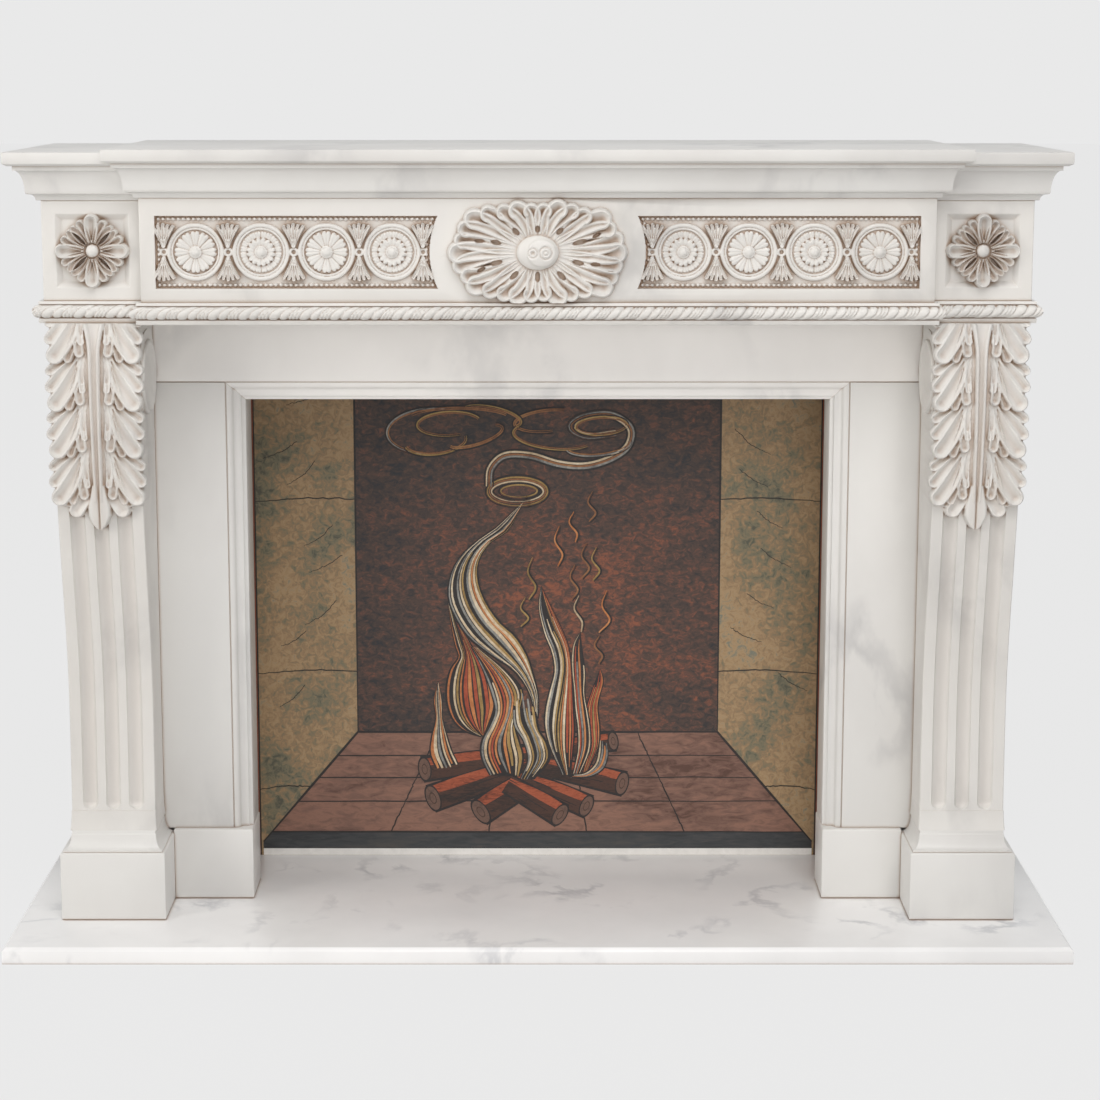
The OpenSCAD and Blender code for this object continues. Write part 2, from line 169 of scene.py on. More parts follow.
honed = marble("honed_marble", "#DFDEDB", "#D5D3D0", "#C1C0BF", 0.38)
# The lintel's lighter copy of the honed marble: painted light against the frieze's shade.
lintel_brightened = marble("honed_marble_painted_lighter", "#FAF8F5", "#F0EEEB", "#D9D8D7", 0.38)
polished = marble("polished_hearth_marble", "#FAFAFA", "#F0F0F0", "#D4D5D8", 0.25, vein_mm=170)
carved = marble("carved_marble", "#DEDCD8", "#D7D4CF", "#C7C5C2", 0.42, hollow=0.5, gap_mm=9)
print("stone:", ", ".join(m.name for m in (honed, lintel_brightened, polished, carved)))

# %% [markdown]
# The fireboard is oil paint on a panel. Each paint is a few close tones worked together
# in short dragged strokes, which a stretched noise gives. The fireback's tones also turn
# warmer near the painted fire.

# %% Paints
def paint(name, tones, grain_mm, drag=(1, 1, 1), patchy=0.42, fire=None):
    """Brushed paint. Near the fire, if there is one, the tones move up the list."""
    material, tree, shader = new_material(name, 0.62)
    flat = add(tree, "TexCoord").outputs["Object"]
    place = add(tree, "Mapping", {"Vector": flat, "Scale": drag,
                                  "Rotation": (0, 0.45, 0)}).outputs[0]
    both = blend(tree, patchy, noise(tree, place, grain_mm, 7, 0.68, 0.9),
                 noise(tree, place, grain_mm / 0.14, 3))
    if fire:
        x, z, reach = fire
        away = add(tree, "VectorMath", {0: flat, 1: (x * MM, BACK * MM, z * MM)},
                   operation="DISTANCE").outputs["Value"]
        near = add(tree, "MapRange", {"Value": away, "From Max": reach * MM,
                                      "To Min": 0.085, "To Max": -0.03}).outputs[0]
        both = add(tree, "Math", {0: both, 1: near}, operation="ADD").outputs[0]
    steps = np.linspace(0.36, 0.66, len(tones)).tolist()
    colour = ramp(tree, both, list(zip(steps, map(linear, tones))))
    tree.links.new(colour, shader.inputs["Base Color"])
    return material


FIRE = (60, 500, 420)
PAINTS = {
    "wall": ("fireback", "#23262A #382F2C #4A3932 #634236 #87503A", 15, (1, 1, 1.6), 0.22, FIRE),
    "cheek": ("cheek_stone", "#545346 #75705A #93795A #A88D69 #79796A", 14),
    "tile": ("tiles", "#54392F #74564A #8C6757 #6C4F43", 24, (0.6, 1, 2)),
    "kerb": ("kerb", "#26282A #3A3C3E #4A4744", 18, (0.4, 1, 2)),
    "fillet": ("white_fillet", "#DAD8D4 #E4E2DE #ECEAE7", 20),
    "border": ("border", "#6B3A28 #8A4E35 #5A3226", 14, (2, 1, 0.4)),
    "soot": ("soot", "#171514 #242020 #2E2826", 8),
    "log": ("logs", "#211A18 #35251F #4A3026 #2A211E", 9, (0.6, 1, 2.5)),
    "glow": ("glowing_bark", "#4A261B #87432C #A5563A #6B3524", 9, (0.6, 1, 2.5)),
    "end": ("log_ends", "#4B3A33 #6B5145 #57443B", 6),
    "ember": ("ember_red", "#7A3524 #A04A31 #B5603F", 14),
    "orange": ("orange", "#965430 #BD7A48 #CC9465", 14),
    "ochre": ("ochre", "#755A32 #9C7F4C #B59763", 14),
    "cream": ("cream", "#A48D70 #CDBA9C #E2D6C0", 12),
    "ash": ("ash_blue", "#565654 #84837F #A8A59C", 12),
    "smoke": ("smoke", "#6A4632 #8B5F3F #A67A50", 12),
}
paints = {key: paint("painted_" + finish, tones.split(), *rest)
          for key, (finish, tones, *rest) in PAINTS.items()}
print("paints:", len(paints))

# %% [markdown]
# ## Plain blocks
# A mason saws a block, then rubs its sharp edges down a little so that they don't chip
# and catch the light. Here each plain block is copied from its CAD node, its flat faces
# are joined again and its arrises get a narrow bevel.

# %% Plain block
def settle(piece, slot, *nodes):
    """Fixes a finished piece to the chimneypiece in place of its CAD nodes."""
    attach(piece, "root")
    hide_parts(*nodes)
    print(piece.name, len(piece.data.polygons), "faces")


def with_modifier(piece, kind, **settings):
    """Adds a modifier and applies it."""
    modifier = piece.modifiers.new(kind.lower(), kind)
    for key, value in settings.items():
        setattr(modifier, key, value)
    depsgraph = bpy.context.evaluated_depsgraph_get()
    made = bpy.data.meshes.new_from_object(piece.evaluated_get(depsgraph))
    piece.modifiers.clear()
    old, piece.data = piece.data, made
    bpy.data.meshes.remove(old)


def smooth(piece, sharp):
    """Smooth shading, with edges sharper than an angle in degrees left crisp."""
    piece.data.shade_smooth()
    piece.data.set_sharp_from_angle(angle=math.radians(sharp))


def plain_block(node, material, rubbed, slot="marble"):
    """A CAD block in its stone, with its arrises rubbed by so many millimetres."""
    piece = bpy.data.objects.new(node + "_stone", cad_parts[node].data.copy())
    bpy.context.scene.collection.objects.link(piece)
    piece.data.materials.clear()
    piece.data.materials.append(material)
    with_modifier(piece, "WELD", merge_threshold=0.01 * MM)
    with_modifier(piece, "DECIMATE", decimate_type="DISSOLVE", angle_limit=math.radians(0.6))
    with_modifier(piece, "BEVEL", width=rubbed * MM, segments=2, limit_method="ANGLE",
                  angle_limit=math.radians(38))
    smooth(piece, 34)
    settle(piece, slot, node)


plain_block("hearth_slab", polished, 1.0, "hearth_marble")
for hand in ("left", "right"):
    plain_block(hand + "_console_plinth", honed, 1.0)
    plain_block(hand + "_jamb_plinth", honed, 1.0)
    plain_block(hand + "_console_base", honed, 0.8)
    plain_block(hand + "_jamb", honed, 0.8)
# the lintel takes the lighter copy, painted light that makes up for its shade
plain_block("lintel", lintel_brightened, 0.8)
plain_block("cornice", honed, 0.8)
plain_block("mantel_shelf", honed, 0.8)

# %% [markdown]
# ## A relief
# A relief is a grid of points with a height at each, in millimetres: x runs to the
# right, z up, and the height stands out of the stone's face. A lobe is one scooped
# leaf lobe along a curved spine, low at its root and high at its rounded tip. Leaves,
# petals and palmettes are all made of lobes, since a gouge makes them all the same way.

# %% Relief tools
def unit(value):
    """Limits a value to the range from 0 to 1."""
    return np.clip(value, 0, 1)


def rounded(q):
    """A round profile: 1 at the middle, 0 where q reaches 1."""
    return np.sqrt(unit(1 - q ** 2))


class Relief:
    """A rectangle of stone with a height at every point of a fine grid."""

    def __init__(self, x0, x1, z0, z1, step):
        self.x = np.linspace(x0, x1, round((x1 - x0) / step) + 1)
        self.z = np.linspace(z0, z1, round((z1 - z0) / step) + 1)
        self.X, self.Z = np.meshgrid(self.x, self.z)
        self.H = np.zeros_like(self.X)

    def window(self, low, high):
        """The part of the grid between two corners, as a pair of slices."""
        i = np.searchsorted(self.z, (low[1], high[1]))
        j = np.searchsorted(self.x, (low[0], high[0]))
        return slice(*i), slice(*j)

    def near(self, points, half):
        """Around a spine: (window, distance from the spine, place along it)."""
        t = np.linspace(0, 1, 61)
        line = curve(points, t)
        reach = half * 1.1
        part = self.window(line.min(0) - reach, line.max(0) + reach)
        dx = self.X[part][..., None] - line[:, 0]
        dz = self.Z[part][..., None] - line[:, 1]
        gap = dx * dx + dz * dz
        return part, np.sqrt(gap.min(-1)), t[gap.argmin(-1)]

    def raise_to(self, part, height, where=True):
        """Raises a part of the stone to a height, where a condition holds."""
        self.H[part] = np.where(where, np.maximum(self.H[part], height), self.H[part])

    def lobe(self, points, half, root, tip, scoop=0.5, neck=0.35, ground=0.0):
        """A scooped lobe with a raised rim, narrow at its root and rounded at its tip."""
        part, away, t = self.near(points, half)
        width = half * (neck + (1 - neck) * np.sin(np.pi / 2 * unit(t / 0.75)))
        q = away / width
        rim = (1 - scoop) + scoop * unit(q / 0.72) ** 1.6
        edge = rounded(unit((q - 0.72) / 0.28))
        height = ground + (root + (tip - root) * t ** 1.3 - ground) * rim * edge
        self.raise_to(part, height, q < 1)

    def pierce(self, points, half, depth):
        """A dark eyelet cut down to a depth, pointed at both ends."""
        part, away, t = self.near(points, half)
        q = away / (half * np.sqrt(np.clip(1 - (2 * t - 1) ** 2, 0.02, 1)))
        cut = np.minimum(self.H[part], depth + 3 * q ** 4)
        self.H[part] = np.where(q < 1, cut, self.H[part])

    def ring(self, x, z, radius, thick, base):
        """A round moulding that runs in a circle."""
        reach = radius + thick
        part = self.window((x - reach, z - reach), (x + reach, z + reach))
        away = np.abs(np.hypot(self.X[part] - x, self.Z[part] - z) - radius)
        round_top = base + np.sqrt(np.clip(thick ** 2 - away ** 2, 0, None))
        self.raise_to(part, round_top, away < thick)

    def dome(self, x, z, radius, height, base, squash=1.0):
        """A round or squashed button."""
        part = self.window((x - radius, z - radius), (x + radius, z + radius))
        q = np.hypot(self.X[part] - x, (self.Z[part] - z) / squash) / radius
        round_top = base + height * rounded(q)
        self.raise_to(part, round_top, q < 1)

    def hollow(self, reach=5.0, full=4.0):
        """How deep each point lies below its surroundings, from 0 to 1."""
        step = self.x[1] - self.x[0]
        wave = np.hypot(*np.meshgrid(np.fft.rfftfreq(len(self.x), step),
                                     np.fft.fftfreq(len(self.z), step)))
        blur = np.exp(-2 * (np.pi * wave * reach) ** 2)
        soft = np.fft.irfft2(np.fft.rfft2(self.H) * blur, s=self.H.shape)
        return unit((soft - self.H) / full) * (np.abs(self.H) > 0.05)

    def sample(self, values, x, z):
        """Reads values between grid points."""
        i = np.clip((z - self.z[0]) / (self.z[1] - self.z[0]), 0, len(self.z) - 1.001)
        j = np.clip((x - self.x[0]) / (self.x[1] - self.x[0]), 0, len(self.x) - 1.001)
        a, b = i.astype(int), j.astype(int)
        u, v = i - a, j - b
        return ((values[a, b] * (1 - v) + values[a, b + 1] * v) * (1 - u)
                + (values[a + 1, b] * (1 - v) + values[a + 1, b + 1] * v) * u)


def curve(points, t):
    """Points along a Bezier curve."""
    points, n = np.array(points, float), len(points) - 1
    t = np.asarray(t)[:, None]
    return sum(math.comb(n, k) * t ** k * (1 - t) ** (n - k) * points[k] for k in range(n + 1))


def ease(value):
    """A soft step from 0 to 1."""
    value = unit(value)
    return value * value * (3 - 2 * value)


print("relief tools ready")

# %% [markdown]
# A mesh is made from points and faces. Every carved body is closed, as stone is: either
# a front grid with a back and four sides, or rings of points stacked along a line.

# %% Mesh tools
def make_mesh(name, points, faces, materials, face_materials=None):
    """An object from points in millimetres."""
    mesh = bpy.data.meshes.new(name)
    mesh.from_pydata(np.asarray(points, float) * MM, [], faces)
    for material in materials:
        mesh.materials.append(material)
    if face_materials is not None:
        mesh.polygons.foreach_set("material_index", np.asarray(face_materials, np.int32))
    mesh.update()
    piece = bpy.data.objects.new(name, mesh)
    bpy.context.scene.collection.objects.link(piece)
    return piece


def grid_faces(rows, columns):
    i, j = np.meshgrid(np.arange(rows - 1), np.arange(columns - 1), indexing="ij")
    a = i * columns + j
    return np.stack([a, a + 1, a + columns + 1, a + columns], -1).reshape(-1, 4).tolist()


def ring_faces(first, rings, count):
    """Faces of a closed body: rings of count points each, and a lid at both ends."""
    last = first + (rings - 1) * count
    faces = []
    for a in range(first, last, count):
        faces += [[a + j, a + (j + 1) % count, a + count + (j + 1) % count, a + count + j]
                  for j in range(count)]
    return faces + [list(range(last, last + count)), list(range(first, first + count))[::-1]]


def set_hollow(piece, values):
    """Gives each point the hollow value that the carved marble reads."""
    layer = piece.data.attributes.new("hollow", "FLOAT", "POINT")
    layer.data.foreach_set("value", np.asarray(values, np.float32))


def carved_block(name, relief, face, keep, shade_strength=1.0):
    """Closes a relief into a block whose face stands so far forward of the wall."""
    rows, columns = relief.H.shape
    height = relief.H.copy()
    height[[0, -1], :] = height[:, [0, -1]] = -0.8
    front = np.stack([relief.X, BACK - face - height, relief.Z], -1).reshape(-1, 3)
    x0, x1, z0, z1 = relief.x[0], relief.x[-1], relief.z[0], relief.z[-1]
    corners = [[x0, BACK, z0], [x1, BACK, z0], [x1, BACK, z1], [x0, BACK, z1]]
    n = rows * columns
    low = list(range(columns))
    top = list(range(n - columns, n))
    left = list(range(0, n, columns))
    right = list(range(columns - 1, n, columns))
    faces = grid_faces(rows, columns) + [
        low[::-1] + [n, n + 1], top + [n + 2, n + 3], left + [n + 3, n],
        right[::-1] + [n + 1, n + 2], [n, n + 3, n + 2, n + 1]]
    piece = make_mesh(name, np.vstack([front, corners]), faces, [carved])
    with_modifier(piece, "DECIMATE", ratio=keep)
    place = np.zeros(len(piece.data.vertices) * 3, np.float32)
    piece.data.vertices.foreach_get("co", place)
    x, y, z = place.reshape(-1, 3).T / MM
    # painted shade: the carving's hollow value, scaled by the last argument, darkens its depths
    set_hollow(piece, np.where(y < BACK - 5, relief.sample(relief.hollow() * shade_strength, x, z), 0))
    smooth(piece, 50)
    return piece


print("mesh tools ready")

# %% [markdown]
# ## The consoles
# A console is a leg with an S-shaped front, carved from one block. Its shaft is cut with
# three flutes, and an acanthus leaf of four tiers hangs down its head. It is built as a
# stack of level rings, because a ring can follow the S and still carry flutes and leaf.

# %% Console sizes, read from the blocks
low, high = (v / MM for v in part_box("right_console"))
FOOT, HEAD = low.z, high.z
PLINTH_HALF = 95
CONSOLE_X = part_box("right_console_plinth")[0].x / MM + PLINTH_HALF
CONSOLE_HALF = 76
JAMB_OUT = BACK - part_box("lintel")[0].y / MM
BAND = FOOT + 35
LEAF = 368
LEAF_Z = HEAD - LEAF
TIER = 84
FLUTES = (-41.7, 0, 41.7)
FLUTE_HALF, FLUTE_DEPTH = 13.3, 9.5


def s_curve(z):
    """How far the console's face stands forward of the wall."""
    rise = (z - FOOT) / (HEAD - FOOT)
    foot = np.where(z < BAND, 1.5 + 4 * ((BAND - z) / (BAND - FOOT)) ** 2, 0)
    hip = 6 * np.sin(np.pi * unit(rise / 0.5))
    return 340 - hip + 58 * ease((rise - 0.25) / 0.6) - 10 * ease((rise - 0.9) / 0.15) + foot


print("console, foot to head:", round(HEAD - FOOT), "mm")

# %% [markdown]
# The acanthus is symmetrical, so only its left half is carved and the grid is mirrored.
# Each tier has five lobes, a pipe beside the stem and a dark eyelet. The stem is a pair
# of ribs that narrow downwards and end in a creased spade-shaped tip.

# %% The acanthus
def leaf_half(relief):
    """Left half of the leaf, tier by tier down from the head."""
    for tier in range(4):
        base = HEAD - 68 - tier * TIER - (0 if tier < 3 else 2)
        stem = tier - 18
        for points, half, tip in (
                ([(-20, 114), (-40, 100), (-60, 84), (-77, 70)], 9.5, 11),
                ([(-22, 106), (-42, 84), (-62, 60), (-76, 42)], 11.5, 13),
                ([(-24, 100), (-34, 62), (-50, 34), (-67, 14)], 17, 17),
                ([(-27, 86), (-30, 54), (-38, 32), (-45, 8)], 8.5, 14),
                ([(-23, 84), (-27, 56), (-29, 40), (-25, 18)], 9.5, 14.5)):
            relief.lobe([(x, base + z) for x, z in points], half, 6, tip, 0.66, 0.3)
        relief.lobe([(stem, base + 100), (stem - 9, base + 74), (stem - 4, base + 36)],
                    7, 7, 11, 0.3, 0.5)
        relief.pierce([(stem - 1.5, base + 86), (stem - 6.5, base + 66), (stem - 4, base + 48)],
                      3.0, -1)
    bed = (np.abs(relief.X) < 30) & (relief.Z > LEAF_Z + 78)
    relief.raise_to(bed, 5.5)
    for points, half, tip, scoop in (
            ([(-14, 96), (-30, 74), (-46, 64), (-54, 50)], 9, 10, 0.45),
            ([(-12, 92), (-20, 66), (-32, 48), (-40, 36)], 14.5, 13, 0.5)):
        relief.lobe([(x, LEAF_Z + z) for x, z in points], half, 5, tip, scoop, 0.3)


def acanthus():
    relief = Relief(-90, 90, LEAF_Z - 6, HEAD, 1.0)
    leaf_half(relief)
    relief.H = np.maximum(relief.H, relief.H[:, ::-1])
    down = unit((HEAD - relief.Z) / LEAF)
    on_stem = down < 0.86
    spread = 4.5 + 3 * (1 - down) + 7 * unit(1 - down * 6) ** 2
    for side in (-1, 1):
        away = np.abs(relief.X - side * spread) / (4.0 + 1.5 * unit(1 - down * 5))
        rib = 15 * rounded(away) ** 0.7
        relief.raise_to(..., rib, (away < 1) & on_stem)
    fill = 9 + 2 * (relief.X / spread) ** 2
    relief.raise_to(..., fill, (np.abs(relief.X) < spread) & on_stem)
    t = (relief.Z - LEAF_Z) / 82
    wide = 21 * np.sqrt(unit(t * 3.1)) * np.clip(1.45 - 0.9 * t, 0.3, 1)
    q = np.abs(relief.X) / np.maximum(wide, 0.1)
    edge = rounded(unit((q - 0.7) / 0.3))
    tip = (12 + 4 * (1 - t)) * edge - 4 * np.exp(-(relief.X / 1.6) ** 2)
    relief.raise_to(..., tip, (q < 1) & (t > 0) & (t < 1))
    relief.raise_to(..., 0)
    return relief


LEAF_RELIEF = acanthus()
LEAF_HOLLOW = LEAF_RELIEF.hollow(5, 5)
print("acanthus grid:", LEAF_RELIEF.H.shape, "highest", round(LEAF_RELIEF.H.max(), 1), "mm")

# %% [markdown]
# Each cheek carries a turned disc, the patera, over a thin arched plate. A lathe outline
# is the natural way to write a disc: pairs of radius and height, from the rim inwards.

# %% Flutes and cheeks
def fluting(x, z):
    """Depth of the flutes, which end in small round arcs just above the foot band."""
    depth = np.zeros_like(x)
    for middle in FLUTES:
        u = (x - middle) / FLUTE_HALF
        v = np.clip((BAND + 15 - z) / 12, 0, 2)
        depth = np.maximum(depth, FLUTE_DEPTH * np.sqrt(unit(1 - u * u - v * v)))
    return depth


def cheek(start, side):
    """The round patera and its plate, as points and faces numbered from start."""
    patera = [(66, -3), (66, 5), (64.5, 6.6), (62, 7), (59, 6.6), (57, 4.6), (55, 3.6),
              (46, 3.2), (44, 2.2), (30, 2.0), (28, 1.4), (2, 1.2)]
    sides = 72
    angle = np.linspace(0, 2 * math.pi, sides, endpoint=False)
    disc = np.vstack([np.stack([np.full(sides, height), radius * np.cos(angle),
                                radius * np.sin(angle)], -1) for radius, height in patera])
    angle = np.radians(np.linspace(42, 138, 25))
    arch = np.vstack([84 * np.column_stack([np.cos(angle), np.sin(angle)]),
                      [(-62.4, -52), (62.4, -52)]])
    plate = np.vstack([np.insert(arch, 0, height, axis=1) for height in (-3, 2)])
    faces = (ring_faces(start, len(patera), sides)
             + ring_faces(start + len(disc), 2, len(arch)))
    points = np.vstack([disc, plate]) + [CONSOLE_HALF, BACK - JAMB_OUT - 70, HEAD - 104]
    if side < 0:
        points[:, 0] *= -1
        faces = [f[::-1] for f in faces]
    return points, faces


print("flute width:", 2 * FLUTE_HALF, "mm")

# %% [markdown]
# One ring goes round the console at one level: up the left cheek in four points, across
# the carved face, and back along the right cheek. The face leans out a little where the
# leaf's lobes pass the block's sides.

# %% Consoles
def console_levels():
    """Heights of the rings: close together at the foot band and in the leaf."""
    return np.concatenate([
        np.linspace(FOOT, BAND - 0.5, 8), np.linspace(BAND + 0.2, BAND + 22, 20),
        np.linspace(BAND + 28, LEAF_Z - 8, 70)[:-1], np.arange(LEAF_Z - 6, HEAD, 1.25), [HEAD]])


def console_face(z, flare):
    """The carved face, as a grid of points, with the hollow value of each."""
    relief = LEAF_RELIEF
    wide = np.where(relief.H > 2.5, np.abs(relief.X), 0).max(1)
    wide = np.convolve(np.pad(wide, 3, mode="edge"), np.ones(7) / 7, "valid")
    wide = np.interp(z, relief.z, np.clip(wide + 1, CONSOLE_HALF, 87))
    X = np.linspace(-1, 1, 137) * (np.maximum(CONSOLE_HALF, wide) + flare)[:, None]
    Z = np.broadcast_to(z[:, None], X.shape)
    on_leaf = Z > LEAF_Z - 5
    leaf = np.where(on_leaf, relief.sample(relief.H, X, Z), 0)
    deep = np.where(on_leaf, relief.sample(LEAF_HOLLOW, X, Z), 0)
    grooves = np.where(Z > BAND, fluting(X, Z), 0) * ease((Z - BAND) / 4)
    height = np.where(leaf > 0.3, leaf, -grooves)
    height[:, [0, -1]] = np.minimum(height[:, [0, -1]], 0) - 1.2
    # painted shade in the flutes, darker where they are deeper
    flute_shade = unit(grooves / FLUTE_DEPTH) ** 2 * 0.2
    hollow = np.maximum(np.where(leaf > 0.3, deep, 0), flute_shade)
    return np.stack([X, BACK - s_curve(z)[:, None] - height, Z], -1), hollow


def console(hand):
    z = console_levels()
    flare = np.where(z < BAND, 0.75 + 2 * ((BAND - z) / (BAND - FOOT)) ** 2, 0)
    face, hollow = console_face(z, flare)
    level, half = np.ones(len(z)), CONSOLE_HALF + flare
    out = np.stack([0 * level, JAMB_OUT * level, (JAMB_OUT + 4) * level, s_curve(z) - 14], -1)
    reach = np.stack([CONSOLE_HALF * level, CONSOLE_HALF * level, half, half], -1)
    left = np.stack([-reach, BACK - out, np.repeat(z[:, None], 4, 1)], -1)
    rings = np.concatenate([left, face, left[:, ::-1] * [-1, 1, 1]], 1)
    points = rings.reshape(-1, 3)
    faces = ring_faces(0, *rings.shape[:2])
    values = np.pad(hollow, ((0, 0), (4, 4))).ravel()
    for side in (-1, 1):
        more, more_faces = cheek(len(points), side)
        points = np.vstack([points, more])
        faces += more_faces
    values = np.pad(values, (0, len(points) - len(values)))
    centre = CONSOLE_X if hand == "right" else -CONSOLE_X
    piece = make_mesh(hand + "_console_carved", points + [centre, 0, 0], faces, [carved])
    set_hollow(piece, values)
    smooth(piece, 55)
    settle(piece, "carved_marble", hand + "_console")


for hand in ("left", "right"):
    console(hand)

# %% [markdown]
# ## The frieze
# The centre block holds two sunk panels of medallions inside a bead border, either side
# of an oval boss of radiating leaves. Each ornament is one small function, so that a row
# of them stays regular, as a carver keeps it with a template.

# %% Frieze sizes and beads
low, high = (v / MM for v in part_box("frieze_centre"))
BREAK_X, FRIEZE_Z, CENTRE_TOP = high.x, low.z, high.z
FRIEZE_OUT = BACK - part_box("right_frieze_block")[0].y / MM
CENTRE_OUT = FRIEZE_OUT + 32
PANEL_Z = FRIEZE_Z + 87.5
PANEL_HALF = 62.5
PANEL_X = 660
ARC_X, ARC_R = 37, 150
SUNK = 8


def turn(points, angle, x, z):
    """Points turned about the origin and set down at (x, z)."""
    c, s = math.cos(angle), math.sin(angle)
    return [(x + a * c - b * s, z + a * s + b * c) for a, b in points]


def bead_row(relief, points):
    """Beads with small reels between them, along a polyline of (x, z)."""
    points = np.array(points, float)
    run = np.concatenate([[0], np.cumsum(np.hypot(*np.diff(points, axis=0).T))])
    count = 2 * round(run[-1] / 8.8)
    for k in range(count + 1):
        x, z = (np.interp(k * run[-1] / count, run, points[:, axis]) for axis in (0, 1))
        radius, height = (1.3, 2.6) if k % 2 else (3.4, 4.2)
        relief.dome(x, z, radius, height, -SUNK + 0.6)


print("frieze block, half length:", round(BREAK_X), "mm")

# %% Rosettes and palmettes
def petal_wheel(relief, x, z, inner, outer, count, height, notch, phase=0.0):
    """A ring of flat petals with rounded or notched ends and a crease down each."""
    part = relief.window((x - outer, z - outer), (x + outer, z + outer))
    dx, dz = relief.X[part] - x, relief.Z[part] - z
    radius = np.hypot(dx, dz)
    across = (np.arctan2(dz, dx) / (2 * math.pi) * count + phase) % 1 * 2 - 1
    end = outer - 0.16 * (outer - inner) * across ** 4 - notch * np.exp(-(across / 0.2) ** 2)
    side = rounded(across) ** 0.7
    drop = np.sqrt(unit((end - radius) / 2.4))
    rise = height * (0.5 + 0.5 * unit((radius - inner) / (outer - inner)) ** 1.5)
    crease = 0.8 * np.exp(-(across / 0.12) ** 2) * (radius > inner + 2)
    petal = -SUNK + np.maximum(rise * (0.3 + 0.7 * side) * drop - crease, 0)
    relief.raise_to(part, petal, (radius > inner) & (radius < end))


def daisy(relief, x, z):
    """Twelve flared petals round a button."""
    petal_wheel(relief, x, z, 7, 37.2, 12, 6.4, 2.2, 0.5)
    relief.ring(x, z, 9.2, 1.6, -SUNK + 4)
    relief.dome(x, z, 8.2, 5.5, -SUNK + 4)


def double_rosette(relief, x, z):
    """Two frilled rows of petals round a button."""
    petal_wheel(relief, x, z, 25, 36.4, 20, 4.2, 0.8)
    petal_wheel(relief, x, z, 8, 25.5, 8, 7.6, 2.6, 0.5)
    petal_wheel(relief, x, z, 8, 21, 8, 7.0, 0.0)
    relief.ring(x, z, 9.4, 1.5, -SUNK + 4.5)
    relief.dome(x, z, 8.2, 6, -SUNK + 4.5)


def palmette(relief, x, up):
    """A small fan of lobes that opens towards the border."""
    for lean in (-2, -1, 0, 1, 2):
        fan = [(x + 0.8 * lean, PANEL_Z + up * 9), (x + 2.6 * lean, PANEL_Z + up * 26),
               (x + 8.2 * lean, PANEL_Z + up * (47 - 1.6 * abs(lean)))]
        relief.lobe(fan, 3.6, 1.6, 4.6, 0.25, 0.45, -SUNK)


def link(relief, x, radius, thick, base):
    """The small ring between two medallions, with a palmette above and below."""
    relief.ring(x, PANEL_Z, radius, thick, -SUNK + base)
    for up in (-1, 1):
        palmette(relief, x, up)


print("a medallion holds a daisy or a double rosette")

# %% A panel of medallions
def sunk_panel(relief):
    """The right panel. The grid is mirrored afterwards."""
    X, Z = relief.X, relief.Z - PANEL_Z
    inside = (X < PANEL_X) & (np.abs(Z) < PANEL_HALF) & (np.hypot(X - ARC_X, Z) > ARC_R)
    relief.H[inside] = -SUNK
    pitch = (PANEL_X - 12 - ARC_X - ARC_R - 8) / 4
    centres = [PANEL_X - 12 - pitch * (k + 0.5) for k in range(4)]
    for k, x in enumerate(centres):
        relief.ring(x, PANEL_Z, 46.3, 3.9, -SUNK + 1.4)
        relief.ring(x, PANEL_Z, 40.3, 2.2, -SUNK + 1.0)
        (double_rosette if k % 2 else daisy)(relief, x, PANEL_Z)
    for x in centres[:3]:
        link(relief, x - pitch / 2, 5.8, 2.6, 2)
    for x in (centres[0] + pitch / 2 - 2, centres[3] - pitch / 2 + 3):
        link(relief, x, 5.4, 2.4, 1.5)
    inset = 5.2
    edge, end, radius = PANEL_HALF - inset, PANEL_X - inset, ARC_R + inset
    swing = math.asin(edge / radius)
    corner = ARC_X + radius * math.cos(swing)
    for up in (-1, 1):
        bead_row(relief, [(corner, PANEL_Z + up * edge), (end, PANEL_Z + up * edge)])
    bead_row(relief, [(end, PANEL_Z - edge), (end, PANEL_Z + edge)])
    bead_row(relief, [(ARC_X + radius * math.cos(a), PANEL_Z + radius * math.sin(a))
                      for a in np.linspace(-swing, swing, 25)])
    relief.H[~inside & (np.abs(X) > 100)] = 0


print("panel:", round(PANEL_X - ARC_X - ARC_R), "x", round(2 * PANEL_HALF), "mm")

# %% [markdown]
# The boss is a squarish oval. Its leaves come in threes, two side lobes under a middle
# one, and they are spaced evenly round the edge and lean a little by chance, so that they
# look cut by hand. The chance is seeded, which keeps every run the same.

# %% The oval boss
BOSS_WIDE, BOSS_TALL, BOSS_LEAVES = 158, 86, 10


def oval_angles(count, first):
    """Angles that space points evenly round the boss."""
    a = np.linspace(0, 2 * math.pi, 721)
    step = np.hypot(BOSS_WIDE * np.diff(np.cos(a)), BOSS_TALL * np.diff(np.sin(a)))
    run = np.concatenate([[0], np.cumsum(step)])
    return np.interp((np.arange(count) + first) % count / count * run[-1], run, a)


def on_boss(q, a):
    """The point at a share q of the way out to the boss's edge, at an angle a."""
    square = (abs(math.cos(a)) ** 3 + abs(math.sin(a)) ** 3) ** (-1 / 3)
    q = q * (1 + (square - 1) * min(q, 1))
    return (q * BOSS_WIDE * math.cos(a), PANEL_Z + q * BOSS_TALL * math.sin(a))


